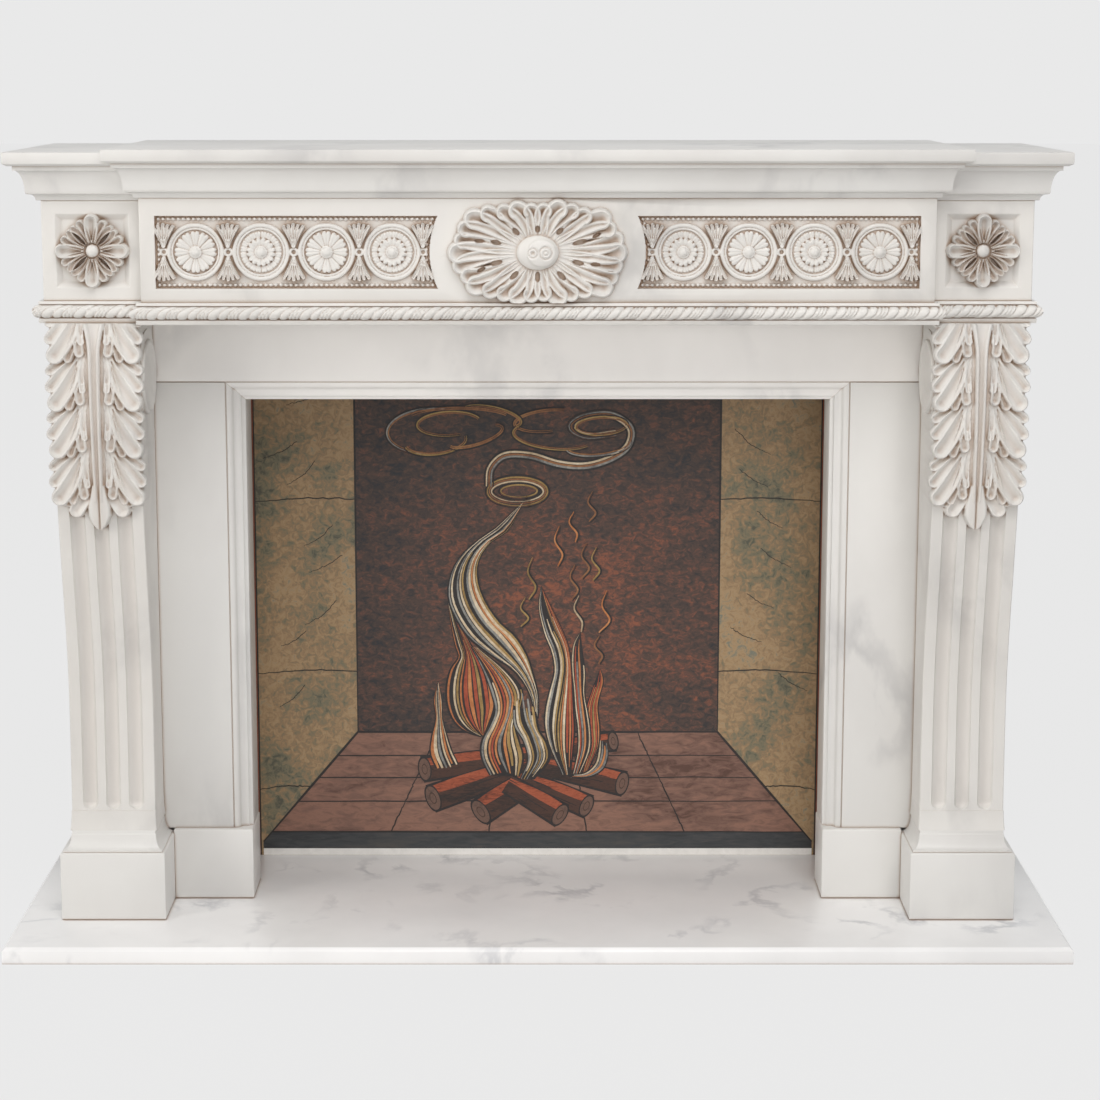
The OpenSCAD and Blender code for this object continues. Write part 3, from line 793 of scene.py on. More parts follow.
def boss_leaves(relief, draw):
    lobes = 3 * BOSS_LEAVES
    tips = oval_angles(lobes, -1.0)
    for k in sorted(range(lobes), key=lambda i: i % 3 == 1):
        middle = k % 3 == 1
        a, lead = tips[k], tips[3 * (k // 3) + 1]
        lean = (a - lead + math.pi) % (2 * math.pi) - math.pi
        reach = 0.95 + draw.uniform(-0.03, 0.02) + (0.02 if middle else -0.01)
        curl = 0.07 * (1 if math.sin(2 * lead) > 0 else -1)
        line = [on_boss(0.26, lead + 0.35 * lean), on_boss(0.52, lead + 0.3 * lean + curl),
                on_boss(0.78, lead + 0.9 * lean + curl), on_boss(reach - 0.095, a)]
        half = (18 if middle else 15) * (1 + 0.1 * abs(math.cos(lead)))
        relief.lobe(line, half, 9, 20.5 + draw.uniform(-2, 0.5), 0.6, 0.4)
    q = np.hypot(relief.X / BOSS_WIDE, (relief.Z - PANEL_Z) / BOSS_TALL)
    relief.raise_to(..., 9.5 - 5 * q, q < 0.55)
    for a in oval_angles(BOSS_LEAVES, 0.5):
        inner, outer = 0.38 + draw.uniform(0, 0.05), 0.52 + draw.uniform(0, 0.08)
        relief.pierce([on_boss(inner, a), on_boss(outer, a)], 4.6, 1.5)
        if abs(math.cos(a)) > 0.5:
            relief.pierce([on_boss(outer + 0.07, a + 0.05), on_boss(outer + 0.17, a + 0.09)],
                          3.4, 3)


def boss_button(relief):
    """A dome with a raised round on it, and two buds."""
    disc = np.hypot(relief.X, (relief.Z - PANEL_Z) / 0.82)
    relief.H = np.where(disc < 39, np.minimum(relief.H, 8.5), relief.H)
    relief.dome(0, PANEL_Z, 36.5, 13, 9, 0.82)
    moon = np.hypot(relief.X - 7, (relief.Z - PANEL_Z) / 0.95)
    relief.H += np.where(disc < 35, 2.4 * unit((26 - moon) / 1.6), 0)
    for x, radius in ((-8, 8), (14, 10.5)):
        bud = np.hypot(relief.X - x, relief.Z - PANEL_Z)
        groove = 2.6 * np.exp(-((bud - radius) / 1.8) ** 2)
        relief.H -= groove + 4.5 * unit(1.3 - bud / 4.5)
    relief.dome(14, PANEL_Z, 4.2, 4.5, 19.5)


print("boss:", 2 * BOSS_WIDE, "x", 2 * BOSS_TALL, "mm")

# %% Frieze blocks
def frieze_centre():
    relief = Relief(-BREAK_X, BREAK_X, FRIEZE_Z, CENTRE_TOP, 1.05)
    sunk_panel(relief)
    relief.H = np.where(relief.X < 0, relief.H[:, ::-1], relief.H)
    boss_leaves(relief, np.random.default_rng(7))
    boss_button(relief)
    relief.H = np.clip(relief.H, -SUNK, 26)
    piece = carved_block("frieze_centre_carved", relief, CENTRE_OUT, 0.45)
    settle(piece, "carved_marble", "frieze_centre")


def end_rosette(relief, x):
    """Four broad lobed petals over four pairs of slim ones."""
    base = -SUNK
    diagonals = [math.pi / 4 + k * math.pi / 2 for k in range(4)]
    for a in diagonals:
        for side in (-1, 1):
            slim = [(13, side * 2), (26, side * 11), (40, side * 9), (49, side * 5)]
            relief.lobe(turn(slim, a, x, PANEL_Z), 6.5, 7, 12, 0.4, 0.4, base)
        relief.pierce(turn([(21, 0), (29, 0)], a, x, PANEL_Z), 3.4, base + 3)
    for k in range(4):
        a = k * math.pi / 2
        for side in (-1, 1):
            outer = [(12, side * 2), (28, side * 8), (40, side * 13), (46, side * 19)]
            relief.lobe(turn(outer, a, x, PANEL_Z), 8.5, 8, 13, 0.5, 0.35, base)
        relief.lobe(turn([(12, 0), (32, 0), (51, 0)], a, x, PANEL_Z), 14, 8, 15, 0.6, 0.3, base)
    middle = np.hypot(relief.X - x, relief.Z - PANEL_Z) < 14.5
    relief.H = np.where(middle, base + 7, relief.H)
    relief.dome(x, PANEL_Z, 12, 9, base + 8)


def frieze_block(hand):
    low, high = (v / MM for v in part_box(hand + "_frieze_block"))
    relief = Relief(low.x, high.x, low.z, high.z, 1.0)
    x = (low.x + high.x) / 2
    out = np.maximum(np.abs(relief.X - x), np.abs(relief.Z - PANEL_Z))
    relief.H = -SUNK * unit((64 - out) / 10)
    end_rosette(relief, x)
    piece = carved_block(hand + "_frieze_block_carved", relief, FRIEZE_OUT, 0.6, 0.4)
    settle(piece, "carved_marble", hand + "_frieze_block")


frieze_centre()
for hand in ("left", "right"):
    frieze_block(hand)

# %% [markdown]
# ## The rope course
# A half-round rope between two fillets turns round the breakfront. Broad smooth strands
# lie between bunches of fine threads, and all of them slant to the right. The rope is a
# moulding bar whose radius changes along it and round it, so that it twists in its bed.

# %% The twist of the rope
low, high = (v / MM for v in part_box("rope_course"))
ROPE_LOW, ROPE_D, FILLET = 9, 23, 8
ROPE_Z = low.z + ROPE_LOW + ROPE_D / 2
ROPE_PITCH = 52
ROPE_POINTS = slice(5, 20)
FRIEZE_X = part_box("right_frieze_block")[1].x / MM


def rope_depth(along, around):
    """How far the rope lies below its full round, along it and round it."""
    turn_at = (along / ROPE_PITCH - around / math.pi * 0.42) % 1
    depth = np.full_like(turn_at, 3.0)
    for middle, half, sunk in ((0.18, 0.155, 0.0), (0.51, 0.13, 0.3)):
        side = np.abs(turn_at - middle) / half
        depth = np.where(side < 1, sunk + 2.4 * side ** 4, depth)
    wave = np.abs(np.sin(np.pi * (turn_at - 0.67) / 0.11))
    return np.where(turn_at > 0.67, 0.7 + 2.1 * (1 - wave) ** 1.5, depth)


print("rope: one turn in", ROPE_PITCH, "mm")

# %% Moulding bars
def moulding_bar(start, along, outward, length, turn0, turn1):
    """One straight run. turn0 and turn1 are 1 where an end mitres round an outer corner."""
    z0, z1 = low.z, high.z
    bead_low, bead_high = z0 + ROPE_LOW, z0 + ROPE_LOW + ROPE_D
    lower = [(-4, z0 + 0.5), (FILLET - 0.8, z0), (FILLET, z0 + 0.8), (FILLET, bead_low - 1),
             (FILLET - 3, bead_low)]
    upper = [(FILLET - 3, bead_high), (FILLET, bead_high + 1), (FILLET, z1 - 0.8),
             (FILLET - 0.8, z1), (-4, z1 - 0.5)]
    t = np.linspace(0, 1, max(2, round(length / 1.2)))
    level = np.ones(len(t))
    profile = [(out * level, z * level) for out, z in lower]
    for a in np.linspace(0, math.pi, 15):
        radius = ROPE_D / 2 - rope_depth(t * length + start[0] + start[1], a)
        profile.append((FILLET - 1 + radius * math.sin(a), ROPE_Z - radius * math.cos(a)))
    profile += [(out * level, z * level) for out, z in upper]
    rows = []
    for reach, height in profile:
        s = -turn0 * reach + t * (length + (turn0 + turn1) * reach)
        rows.append(np.stack([start[0] + along[0] * s + outward[0] * reach,
                              start[1] + along[1] * s + outward[1] * reach, height], -1))
    return np.stack(rows, 1)


def bar_hollow(bar, outward):
    """The hollow value of a bar's points: painted shade between the strands, none on the fillets.
    """
    rope = bar[:, ROPE_POINTS]
    reach = np.abs((rope - bar[:, 4:5]) @ np.array([*outward, 0]))
    radius = np.hypot(reach + 2, rope[..., 2] - ROPE_Z)
    value = np.zeros(bar.shape[:2])
    value[:, ROPE_POINTS] = unit((ROPE_D / 2 - 0.3 - radius) / 1.2)
    return value.ravel().tolist()


def rope_course():
    points, faces, hollow = [], [], []
    side_y, front_y = BACK - FRIEZE_OUT, BACK - CENTRE_OUT
    wing, nose = FRIEZE_X - BREAK_X, side_y - front_y - 4
    runs = [((-FRIEZE_X, BACK), (0, -1), (-1, 0), FRIEZE_OUT, 0, 1),
            ((-FRIEZE_X, side_y), (1, 0), (0, -1), wing, 1, 0),
            ((-BREAK_X, side_y - 4), (0, -1), (-1, 0), nose, 0, 1),
            ((-BREAK_X, front_y), (1, 0), (0, -1), 2 * BREAK_X, 1, 1),
            ((BREAK_X, front_y), (0, 1), (1, 0), nose, 1, 0),
            ((BREAK_X, side_y), (1, 0), (0, -1), wing, 0, 1),
            ((FRIEZE_X, side_y), (0, 1), (1, 0), FRIEZE_OUT, 1, 0)]
    for run in runs:
        bar = moulding_bar(*run)
        # a bar's outline runs the other way round, so its faces are turned over
        faces += [f[:1] + f[:0:-1] for f in ring_faces(len(points), *bar.shape[:2])]
        points += bar.reshape(-1, 3).tolist()
        hollow += bar_hollow(bar, run[2])
    plan = [(-FRIEZE_X, BACK), (-FRIEZE_X, side_y), (-BREAK_X, side_y), (-BREAK_X, front_y),
            (BREAK_X, front_y), (BREAK_X, side_y), (FRIEZE_X, side_y), (FRIEZE_X, BACK)]
    faces += ring_faces(len(points), 2, len(plan))
    points += [[x, y, z] for z in (low.z, high.z) for x, y in plan]
    hollow += [0] * 2 * len(plan)
    piece = make_mesh("rope_course_carved", points, faces, [carved])
    set_hollow(piece, hollow)
    smooth(piece, 48)
    settle(piece, "carved_marble", "rope_course")


rope_course()

# %% [markdown]
# ## The painted fireboard
# A fireboard closes the opening in summer, and this one is painted to look like a lit
# firebox. Oil paint lies in coats, so the picture is laid the same way: thin closed plates
# and ribbons of colour on the board, each coat a hair in front of the last. That keeps
# every edge of the painting sharp without a picture file.

# %% Paint tools
BOARD_T = 14
BOARD_FACE = BACK - BOARD_T
COAT = 0.004


class Picture:
    """Coats of paint on the face of the board."""

    def __init__(self):
        self.points, self.faces, self.paint, self.coat = [], [], [], 0.3

    def add_body(self, rings, paint):
        """A closed body of stacked rings, in one paint."""
        faces = ring_faces(len(self.points), *rings.shape[:2])
        self.points += rings.reshape(-1, 3).tolist()
        self.faces += faces
        self.paint += [list(paints).index(paint)] * len(faces)

    def slab(self, outline, near, far, paint):
        """An outline of (x, z), filled from y = near to y = far."""
        outline = np.asarray(outline, float)
        x, z = outline.T
        if np.sum(x * np.roll(z, -1) - z * np.roll(x, -1)) < 0:
            outline = outline[::-1]
        self.add_body(np.stack([np.insert(outline, 1, y, axis=1) for y in (far, near)]), paint)

    def plate(self, outline, paint):
        """A flat patch of paint."""
        self.coat += COAT
        self.slab(outline, BOARD_FACE - self.coat, BOARD_FACE + 0.5, paint)

    def stroke(self, line, width, paint):
        """A ribbon along a line of (x, z), with a width at each of its points."""
        self.coat += COAT
        line = np.asarray(line, float)
        side = across(line) * width[:, None] / 2
        near, far = BOARD_FACE - self.coat, BOARD_FACE + 0.5
        corners = ((line + side, near), (line - side, near), (line - side, far), (line + side, far))
        self.add_body(np.stack([np.insert(edge, 1, y, axis=1) for edge, y in corners], 1), paint)


def across(line):
    """Unit vectors square to a line, towards its left."""
    slope = np.gradient(line, axis=0)
    slope /= np.maximum(np.hypot(*slope.T), 1e-6)[:, None]
    return np.stack([-slope[:, 1], slope[:, 0]], -1)


def flowing(points, n=26):
    """A smooth line through every given point."""
    p = np.array(points, float)
    p = np.vstack([2 * p[0] - p[1], p, 2 * p[-1] - p[-2]])
    t = np.linspace(0, len(p) - 3 - 1e-6, n)
    i = t.astype(int)
    u = (t - i)[:, None]
    a, b, c, d = p[i], p[i + 1], p[i + 2], p[i + 3]
    return 0.5 * (2 * b + (c - a) * u + (2 * a - 5 * b + 4 * c - d) * u ** 2
                  + (3 * b - a - 3 * c + d) * u ** 3)


def taper(n, most, root=0.5, tip=0.12):
    """Widths along a stroke, as shares of the widest at its root and tip."""
    t = np.linspace(0, 1, n)
    swell = root + (1 - root) * np.sin(np.pi * unit(t * 1.1) ** 0.8)
    return most * swell * (1 - (1 - tip) * t ** 3)


picture = Picture()
draw = np.random.default_rng(11)
print("a coat is", COAT, "mm thick")

# %% [markdown]
# The firebox is drawn in one-point perspective: fireback, two stone cheeks and a tiled
# hearth whose joints all run to one vanishing point. A dark kerb and a white strip close
# it at the bottom, and a red-brown border shows at its sides.

# %% The painted firebox
board_low, board_high = (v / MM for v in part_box("painted_fireboard"))
TOP, BOTTOM = board_high.z, board_low.z
WALL_X, WALL_Z = 352, 281
SIDE_X, SIDE_Z = 541, 57
CHEEK_X = 546
KERB_Z, WHITE_STRIP_TOP = 77, 44
VANISH_Z = 700
JOINT_X = 193
KERB_X = SIDE_X * (VANISH_Z - KERB_Z) / (VANISH_Z - SIDE_Z)


def mirrored(points, side):
    """The same points on the right (1) or the left (-1)."""
    return [(side * x, z) for x, z in points]


def dark_line(points, width=3.0, wander=0.0):
    line = flowing(points, 20) if len(points) > 2 else np.linspace(points[0], points[1], 14)
    line = line + draw.normal(0, wander, line.shape)
    picture.stroke(line, taper(len(line), width, 0.8, 0.7), "soot")


def on_floor(x_front, z):
    """A point on the line from (x_front, kerb) towards the vanishing point."""
    return (x_front * (VANISH_Z - z) / (VANISH_Z - KERB_Z), z)


def box(half, z0, z1):
    """The outline of a level band, symmetrical about the middle."""
    return [(-half, z0), (half, z0), (half, z1), (-half, z1)]


def firebox_areas():
    picture.plate(box(WALL_X, WALL_Z, TOP), "wall")
    for side in (-1, 1):
        stone = [(WALL_X, TOP), (WALL_X, WALL_Z), (SIDE_X, SIDE_Z), (SIDE_X, BOTTOM),
                 (CHEEK_X, BOTTOM), (CHEEK_X, TOP)]
        edge = [(CHEEK_X, BOTTOM), (CHEEK_X, TOP), (board_high.x, TOP), (board_high.x, BOTTOM)]
        picture.plate(mirrored(stone, side), "cheek")
        picture.plate(mirrored(edge, side), "border")
    picture.plate([(-KERB_X, KERB_Z), (KERB_X, KERB_Z), (WALL_X, WALL_Z), (-WALL_X, WALL_Z)],
                  "tile")
    picture.plate([(-SIDE_X, BOTTOM), (SIDE_X, BOTTOM), (SIDE_X, SIDE_Z - 2), (KERB_X, KERB_Z),
                   (-KERB_X, KERB_Z), (-SIDE_X, SIDE_Z - 2)], "kerb")
    # a white strip along the foot of the board, from its bottom up to the kerb
    picture.plate(box(SIDE_X, BOTTOM, WHITE_STRIP_TOP), "fillet")


def tile_joints():
    rows = [WALL_Z, 233, 188, 140, KERB_Z]
    for row, (far, near) in enumerate(zip(rows, rows[1:])):
        if row:
            dark_line([on_floor(-KERB_X, far), on_floor(KERB_X, far)], 3, 0.4)
        for x in (np.arange(-2, 2) + 0.5) * JOINT_X:
            dark_line([on_floor(x, near), on_floor(x, far)], 3, 0.5)


def cheek_lines(side):
    """Edges, three bed joints and eight cracks on one stone cheek."""
    dark_line(mirrored([(WALL_X, TOP), (WALL_X, WALL_Z)], side), 4)
    dark_line(mirrored([(WALL_X, WALL_Z), (SIDE_X, SIDE_Z)], side), 5)
    dark_line(mirrored([(CHEEK_X, BOTTOM), (CHEEK_X, TOP)], side))
    for z in (744, 402, 168):
        below = max(WALL_Z - z, 0) / (WALL_Z - SIDE_Z)
        inner, outer = WALL_X + below * (SIDE_X - WALL_X), CHEEK_X - 1
        rise = 0.006 * (SIDE_X - WALL_X)
        joint = [(inner, z + rise), ((inner + outer) / 2, z + 3), (outer, z - 4)]
        dark_line(mirrored(joint, side), 2.6, 0.6)
    for k in range(8):
        x, z = draw.uniform(356, 470), 960 - 82 * k + draw.uniform(-25, 25)
        run, fall = draw.uniform(45, 75), draw.uniform(20, 50)
        crack = [(x, z), (x + run * 0.45, z - fall * 0.6), (x + run, z - fall)]
        dark_line(mirrored(crack, side), 1.5, 0.7)


firebox_areas()
dark_line([(-SIDE_X, WHITE_STRIP_TOP), (SIDE_X, WHITE_STRIP_TOP)], 1.6)
tile_joints()
for side in (-1, 1):
    cheek_lines(side)
dark_line([(-WALL_X, WALL_Z), (WALL_X, WALL_Z)], 5, 0.5)
dark_line([(-KERB_X, KERB_Z), (KERB_X, KERB_Z)], 4, 0.5)
print("firebox:", len(picture.faces), "faces")

# %% [markdown]
# The logs cross in a heap. Each has a dark outline, bark that glows along its top, a few
# cracks and a sawn end with one ring.

# %% The painted logs
def log(x0, z0, x1, z1, half):
    """A log whose sawn end is at (x0, z0), running back to (x1, z1)."""
    a, b = np.array([x0, z0], float), np.array([x1, z1], float)
    along = (b - a) / np.hypot(*(b - a))
    up = np.array([-along[1], along[0]]) * (1 if along[0] > 0 else -1)
    for grow, name in ((5, "soot"), (0, "log")):
        h, front = half + grow, a - along * grow
        picture.plate([front - up * h, b - up * h * 0.8, b + up * h * 0.8, front + up * h], name)
    for level, wide, name in ((0.75, 0.62, "glow"), (0.45, 0.42, "glow"), (0.15, 0.22, "log")):
        line = flowing([a + up * half * level, (a + b) / 2 + up * half * (level - 0.05),
                        b + up * half * level * 0.7])
        picture.stroke(line, taper(26, half * wide, 0.6, 0.3), name)
    for _ in range(4):
        level = draw.uniform(-0.8, 0.5)
        start, end = sorted(draw.uniform(0.05, 0.95, 2))
        line = [a + (b - a) * s + up * half * level for s in np.linspace(start, end, 6)]
        picture.stroke(line, taper(6, 2.2, 0.5, 0.3), "soot")
    angle = np.linspace(0, 2 * math.pi, 24, endpoint=False)[:, None]
    for radius, name in ((half + 4.5, "soot"), (half, "end"), (half * 0.5, "log"),
                         (half * 0.4, "end")):
        oval = a + along * np.cos(angle) * radius * 0.5 + up * np.sin(angle) * radius
        picture.plate(oval, name)


for place in ((148, 262, -120, 225, 17), (-222, 205, 30, 240, 22), (166, 176, 0, 215, 22),
              (-206, 146, -20, 212, 25), (-112, 118, 20, 205, 25), (96, 130, -30, 186, 21),
              (44, 112, -60, 176, 22)):
    log(*place)
print("with logs:", len(picture.faces), "faces")

# %% [markdown]
# A flame is a bunch of tapering strokes. They flow between guide lines that run from the
# logs to the flame's tip, over a dark ground that shows between them. Two flames that
# touch share the guide line between them.

# %% A painted flame
def flame(guides, strands, colours, outline=3.0, n=30):
    """Strokes between neighbouring guide lines, which start at the logs."""
    lines = [flowing(guide, n) for guide in guides]
    picture.plate(np.vstack([lines[0], lines[-1][::-1]]), "soot")
    count = 0
    for a, b in zip(lines, lines[1:]):
        gap = np.hypot(*(b - a).T)
        for k in range(strands):
            wave = np.sin(np.linspace(0, 5, n) + draw.uniform(0, 6))
            line = a + (b - a) * (((k + 0.5) + 0.12 * wave) / strands)[:, None]
            first = 0 if draw.random() < 0.7 else int(draw.uniform(1, n * 0.15))
            last = n if draw.random() < 0.6 else int(draw.uniform(n * 0.75, n))
            thick = np.maximum(gap / strands * draw.uniform(0.6, 0.95), 1.5)[first:last]
            thick = thick * np.sin(np.pi * np.linspace(0.06, 0.96, last - first)) ** 0.4
            picture.stroke(line[first:last], thick, colours[count % len(colours)])
            count += 1
    for line in (lines[0], lines[-1]):
        picture.stroke(line, taper(n, outline, 0.7, 0.4), "soot")


print("a flame needs at least two guide lines")

# %% The small flames and the tall one
flame([[(-200, 207), (-211, 238), (-208, 271), (-200, 308), (-203, 346), (-194, 384)],
       [(-175, 208), (-186, 238), (-191, 271), (-192, 308), (-194, 346), (-194, 384)],
       [(-156, 216), (-168, 242), (-177, 271), (-186, 308), (-187, 340), (-194, 384)]],
      3, ["orange", "cream", "ash", "cream"])
flame([[(87, 193), (99, 256), (94, 294), (96, 332), (108, 370), (122, 408)],
       [(92, 195), (110, 252), (108, 290), (107, 333), (118, 375), (122, 408)],
       [(96, 195), (118, 247), (122, 285), (118, 335), (128, 382), (122, 408)]],
      3, ["ember", "orange", "ember", "ochre"])
flame([[(69, 195), (78, 242), (78, 285), (73, 327), (70, 370), (66, 412), (69, 455), (83, 482)],
       [(76, 195), (89, 245), (90, 285), (86, 325), (82, 365), (80, 408), (79, 450), (83, 482)],
       [(82, 193), (102, 242), (104, 280), (99, 318), (92, 358), (93, 400), (87, 445), (83, 482)]],
      3, ["cream", "ember", "ash", "orange", "soot"])
spire = [(55, 193), (41, 242), (37, 285), (41, 327), (48, 370), (53, 417), (46, 455), (30, 492),
         (16, 535), (7, 573)]
flame([spire, [(64, 195), (69, 242), (72, 285), (70, 327), (68, 370), (66, 412), (60, 455),
               (43, 497), (25, 535), (7, 573)]],
      6, ["ochre", "orange", "cream", "ember", "orange", "ember"], 3.4)
flame([[(48, 195), (25, 247), (14, 290), (15, 327), (23, 365), (32, 403), (27, 441), (13, 478),
        (2, 530), (7, 573)], spire],
      5, ["cream", "ash", "soot", "cream", "ochre"], 3.4)
print("with the right-hand flames:", len(picture.faces), "faces")

# %% The bulb, the middle flames and the plume
bulb = [(-108, 272), (-126, 292), (-140, 318), (-146, 350), (-146, 382), (-142, 412), (-140, 436),
        (-146, 460), (-158, 496), (-172, 540)]
flame([bulb, [(-106, 272), (-97, 294), (-86, 327), (-86, 352), (-92, 385), (-106, 418),
              (-122, 443), (-136, 468), (-152, 500), (-170, 540)]],
      6, ["ember", "orange", "ember", "ochre", "ember", "orange"], 4)
flame([[(-110, 271), (-142, 282), (-165, 304), (-177, 337), (-178, 374), (-170, 408),
        (-155, 431), (-161, 455), (-168, 492), (-175, 540)], bulb],
      5, ["orange", "soot", "cream", "ochre", "orange"], 4)
flame([[(-94, 193), (-110, 228), (-110, 261), (-94, 294), (-84, 323), (-90, 356), (-106, 403),
        (-129, 452)],
       [(-62, 200), (-76, 232), (-78, 261), (-66, 294), (-58, 323), (-58, 356), (-80, 400),
        (-124, 452)],
       [(-36, 190), (-28, 228), (-36, 261), (-44, 294), (-34, 327), (-30, 365), (-58, 402),
        (-116, 450)]],
      5, ["ash", "cream", "orange", "ember", "orange", "ash", "orange", "ochre", "cream",
          "ochre"], 4)
PLUME_TIP = (-25, 743)
flame([[(-4, 311), (-18, 362), (-48, 405), (-92, 436), (-134, 470), (-160, 510), (-174, 550),
        (-170, 592), (-152, 629), (-119, 662), (-78, 692), PLUME_TIP],
       [(-2, 309), (-8, 358), (-28, 402), (-56, 437), (-88, 472), (-118, 508), (-138, 548),
        (-144, 590), (-133, 628), (-106, 661), (-67, 690), PLUME_TIP],
       [(1, 308), (1, 356), (-9, 398), (-21, 436), (-44, 474), (-74, 502), (-102, 544),
        (-116, 587), (-113, 625), (-92, 658), (-55, 686), PLUME_TIP]],
      6, ["ash", "cream", "soot", "ash", "cream", "ochre", "soot", "ash", "cream", "orange",
          "cream", "ochre"], 4)
flame([[(-34, 186), (-20, 223), (-28, 261), (-46, 294), (-48, 335)],
       [(-20, 184), (2, 228), (-6, 270), (-20, 308), (-28, 362)],
       [(-8, 184), (23, 223), (20, 256), (4, 284), (-2, 318)]],
      5, ["ash", "cream", "ochre", "soot", "ash", "ochre"])
flame([[(60, 194), (92, 198), (112, 216), (119, 240), (122, 264)],
       [(66, 188), (102, 190), (128, 205), (138, 232), (136, 258)]],
      4, ["cream", "ash", "orange", "ash"])
print("fire:", len(picture.faces), "faces")

# %% [markdown]
# Smoke leaves the plume through a ring, waves to the right and curls under the top edge.
# Sparks rise as short waves. Both are thin parallel strokes with dark ones beside them.

# %% The painted smoke and sparks
def oval_line(x, z, wide, tall, start=0, turns=1.0, tilt=0.0):
    """Part of an oval, from a start angle in degrees."""
    a = np.radians(start) + np.linspace(0, 2 * math.pi * turns, 48)
    px, pz = wide * np.cos(a), tall * np.sin(a)
    c, s = math.cos(tilt), math.sin(tilt)
    return np.stack([x + px * c - pz * s, z + px * s + pz * c], -1)


def strands(line, offsets, colours, width=3.2):
    """Parallel strokes beside a line."""
    for offset, name in zip(offsets, colours):
        picture.stroke(line + across(line) * offset, taper(len(line), width, 0.55, 0.5), name)


def smoke():
    ring = oval_line(-39, 760, 54, 24, -70, 1.02)
    strands(ring, (-8, -4, 0, 4, 8), ("soot", "ochre", "smoke", "cream", "soot"))
    strands(oval_line(-36, 761, 36, 13, -70, 1.02), (-3, 1), ("soot", "ochre"))
    scarf = [(-96, 770), (-92, 806), (-64, 832), (-14, 832), (40, 816), (92, 812), (140, 826),
             (172, 850), (176, 884), (140, 908), (90, 904), (66, 886), (96, 870), (150, 876)]
    strands(flowing(scarf, 70), (-10, -6, -2, 3, 7), ("soot", "ash", "smoke", "cream", "soot"), 4)
    for curl in ((122, 888, 50, 18, 0, 1.0, 0.05), (20, 898, 66, 22, 60, 0.6, 0.1),
                 (30, 868, 78, 26, 150, 0.5, -0.1), (-206, 878, 84, 44, 60, 0.55, 0.06),
                 (-170, 892, 62, 24, 20, 0.75, 0.05), (-196, 858, 60, 26, 190, 0.5, 0.12),
                 (-120, 868, 56, 18, 200, 0.55, 0.3), (-150, 904, 96, 20, 20, 0.4, 0.0),
                 (-90, 906, 60, 20, 330, 0.5, -0.2), (116, 850, 62, 20, 190, 0.5, 0.1)):
        middle = draw.choice(["smoke", "ochre", "ash"])
        strands(oval_line(*curl), (-3.2, 0, 3.2), ("soot", middle, "smoke"), 2.8)


def sparks():
    for x, z, long, lean in (
            (-12, 546, 84, -4), (-26, 492, 58, -6), (40, 612, 80, 0), (68, 660, 60, 6),
            (92, 588, 70, -6), (112, 584, 66, -4), (70, 545, 70, -4), (78, 482, 72, 8),
            (132, 480, 84, -12), (118, 418, 56, 2), (104, 700, 60, -4)):
        wave = [(x + lean, z), (x + 9, z + long * 0.3), (x - 6, z + long * 0.65),
                (x + 3, z + long)]
        bright = draw.choice(["smoke", "ochre", "cream", "orange"])
        strands(flowing(wave, 18), (-2.2, 1.2), ("soot", bright), 3.4)


smoke()
sparks()
print("picture:", len(picture.faces), "faces")

# %% The fireboard
def fireboard():
    picture.slab(box(board_high.x, BOTTOM, TOP), BOARD_FACE, BACK, "border")
    piece = make_mesh("painted_fireboard_panel", picture.points, picture.faces,
                      list(paints.values()), picture.paint)
    settle(piece, "painted_board", "painted_fireboard")


fireboard()

# %% [markdown]
# ## Studio
# White stone shows its shape only in soft light from one side. A broad lamp at the left
# gives the shadows their direction, a low and a high lamp at the front fill them, and an
# even pale sky does the rest. The floor and the backdrop look the same plain grey to the
# eye, and the floor still takes the object's shadow.

# %% Floor and sky
FLOOR_TONE, FLOOR_LIT, BACKDROP = "#EBEBEB", "#E4E4E4", "#E9E9E9"
FLOOR_HALF = 40000
SEEN_SHARE = 0.94


def seen_directly(tree):
    """1 for what the eye sees or sees mirrored, 0 for light that falls on things."""
    path = add(tree, "LightPath").outputs
    kinds = ("Is Camera Ray", "Is Glossy Ray", "Is Transmission Ray")
    seen = path[kinds[0]]
    for kind in kinds[1:]:
        seen = add(tree, "Math", {0: seen, 1: path[kind]}, operation="MAXIMUM").outputs[0]
    return seen


def mix_out(tree, factor, below, above, output):
    """Mixes two shaders into an output node."""
    mix = add(tree, "MixShader", {0: factor, 1: below.outputs[0], 2: above.outputs[0]})
    add(tree, output, {"Surface": mix.outputs[0]})


def studio_floor():
    material = bpy.data.materials.new("studio_floor")
    material.use_nodes = True
    tree = material.node_tree
    tree.nodes.clear()
    lit = add(tree, "BsdfDiffuse", {"Color": linear(FLOOR_LIT)})
    plain = add(tree, "Emission", {"Color": linear(FLOOR_TONE), "Strength": 1.0})
    share = add(tree, "Math", {0: seen_directly(tree), 1: SEEN_SHARE}, operation="MULTIPLY")
    mix_out(tree, share.outputs[0], lit, plain, "OutputMaterial")
    corners = [(x * FLOOR_HALF, y * FLOOR_HALF, 0) for x, y in ((-1, -1), (1, -1), (1, 1), (-1, 1))]
    floor = make_mesh("studio_floor", corners, [[0, 1, 2, 3]], [material])


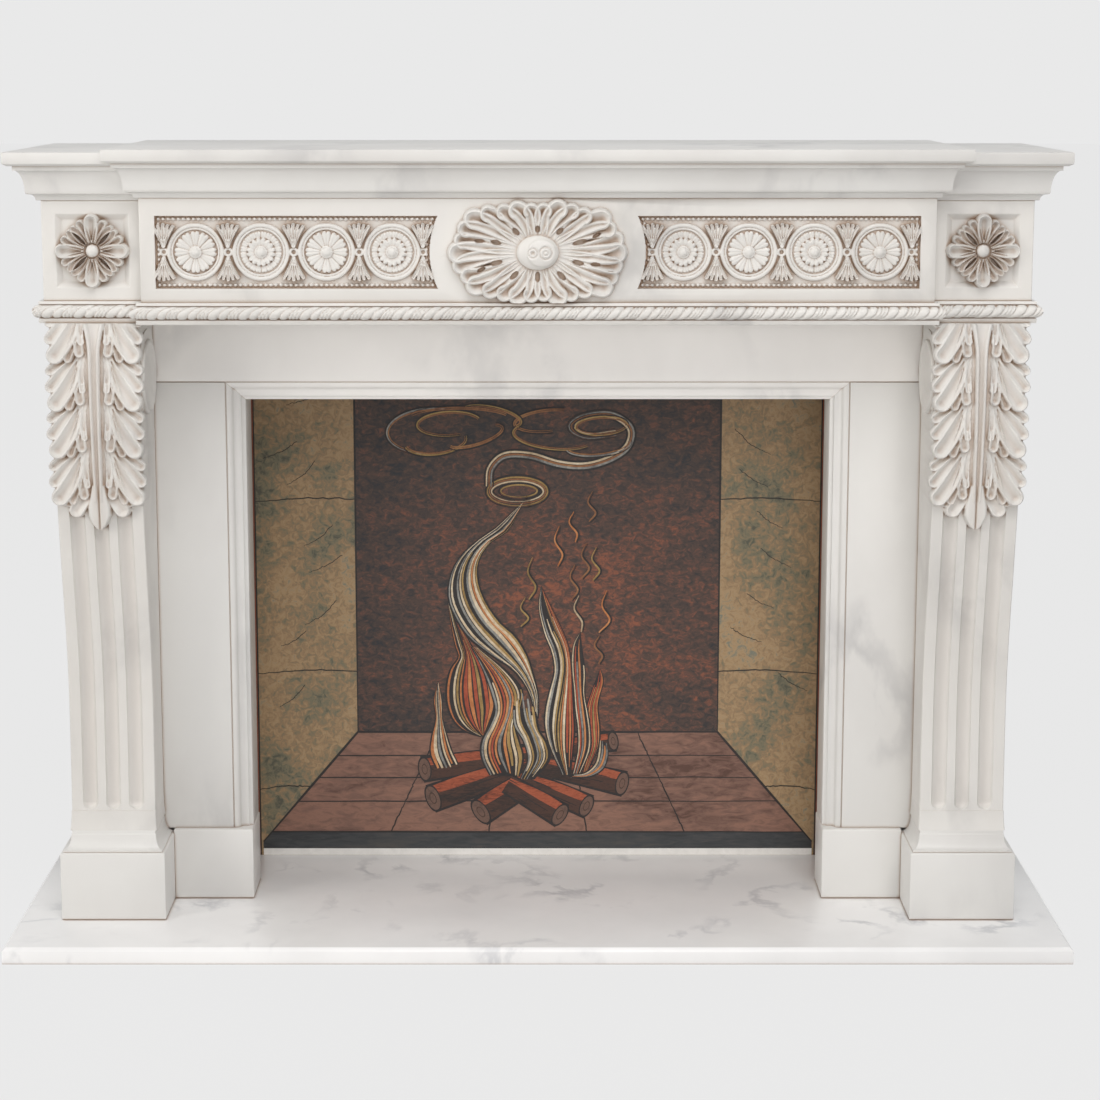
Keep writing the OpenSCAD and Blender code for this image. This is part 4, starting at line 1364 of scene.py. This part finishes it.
def sky(strength):
    world = bpy.data.worlds.new("studio_sky")
    bpy.context.scene.world = world
    world.use_nodes = True
    tree = world.node_tree
    tree.nodes.clear()
    light = add(tree, "Background", {"Color": (1, 1, 1, 1), "Strength": strength})
    plain = add(tree, "Background", {"Color": linear(BACKDROP), "Strength": 1.0})
    mix_out(tree, seen_directly(tree), light, plain, "OutputWorld")


studio_floor()
sky(0.38)
print("floor:", 2 * FLOOR_HALF * MM, "m wide")

# %% Soft lamps
def softbox(name, place, target, size, watts, colour):
    """A square lamp in metres and watts, turned towards a target."""
    lamp = bpy.data.lights.new(name, "AREA")
    lamp.size = size
    lamp.energy = watts
    lamp.color = linear(colour)[:3]
    holder = bpy.data.objects.new(name, lamp)
    bpy.context.scene.collection.objects.link(holder)
    holder.location = place
    aim = Vector(target) - holder.location
    holder.rotation_euler = aim.to_track_quat("-Z", "Y").to_euler()


softbox("key_left", (-5.4, -3.4, 2.2), (0, 0, 0.7), 2.4, 110, "#FFFAF4")
softbox("low_front", (1.0, -5.4, 1.0), (0, 0, 0.7), 2.4, 47, "#FFFAF6")
softbox("high_front", (0.4, -3.0, 4.4), (0, 0, 0.3), 3.0, 104, "#FFFDFC")
print("lamps:", len(bpy.data.lights))

# %% [markdown]
# ## Camera
# It stands in front of the middle at a standing eye's height, and looks slightly down. A
# long lens and a small shift keep the uprights nearly parallel, as in a catalogue view.

# %% Camera
EYE_OUT, EYE_HEIGHT, LOOK_DOWN = 4.378, 1.583, 8.58
camera = bpy.data.cameras.new("camera")
camera.sensor_width = 36
camera.lens = 75.3
camera.shift_x = 0.0112
camera.shift_y = -0.13
eye = bpy.data.objects.new("camera", camera)
eye.location = (0, BACK * MM - EYE_OUT, EYE_HEIGHT)
eye.rotation_euler = (math.radians(90 - LOOK_DOWN), 0, 0)
bpy.context.scene.collection.objects.link(eye)
bpy.context.scene.camera = eye
bpy.context.scene.view_settings.view_transform = "Standard"
print("camera:", round(EYE_OUT, 2), "m from the wall")
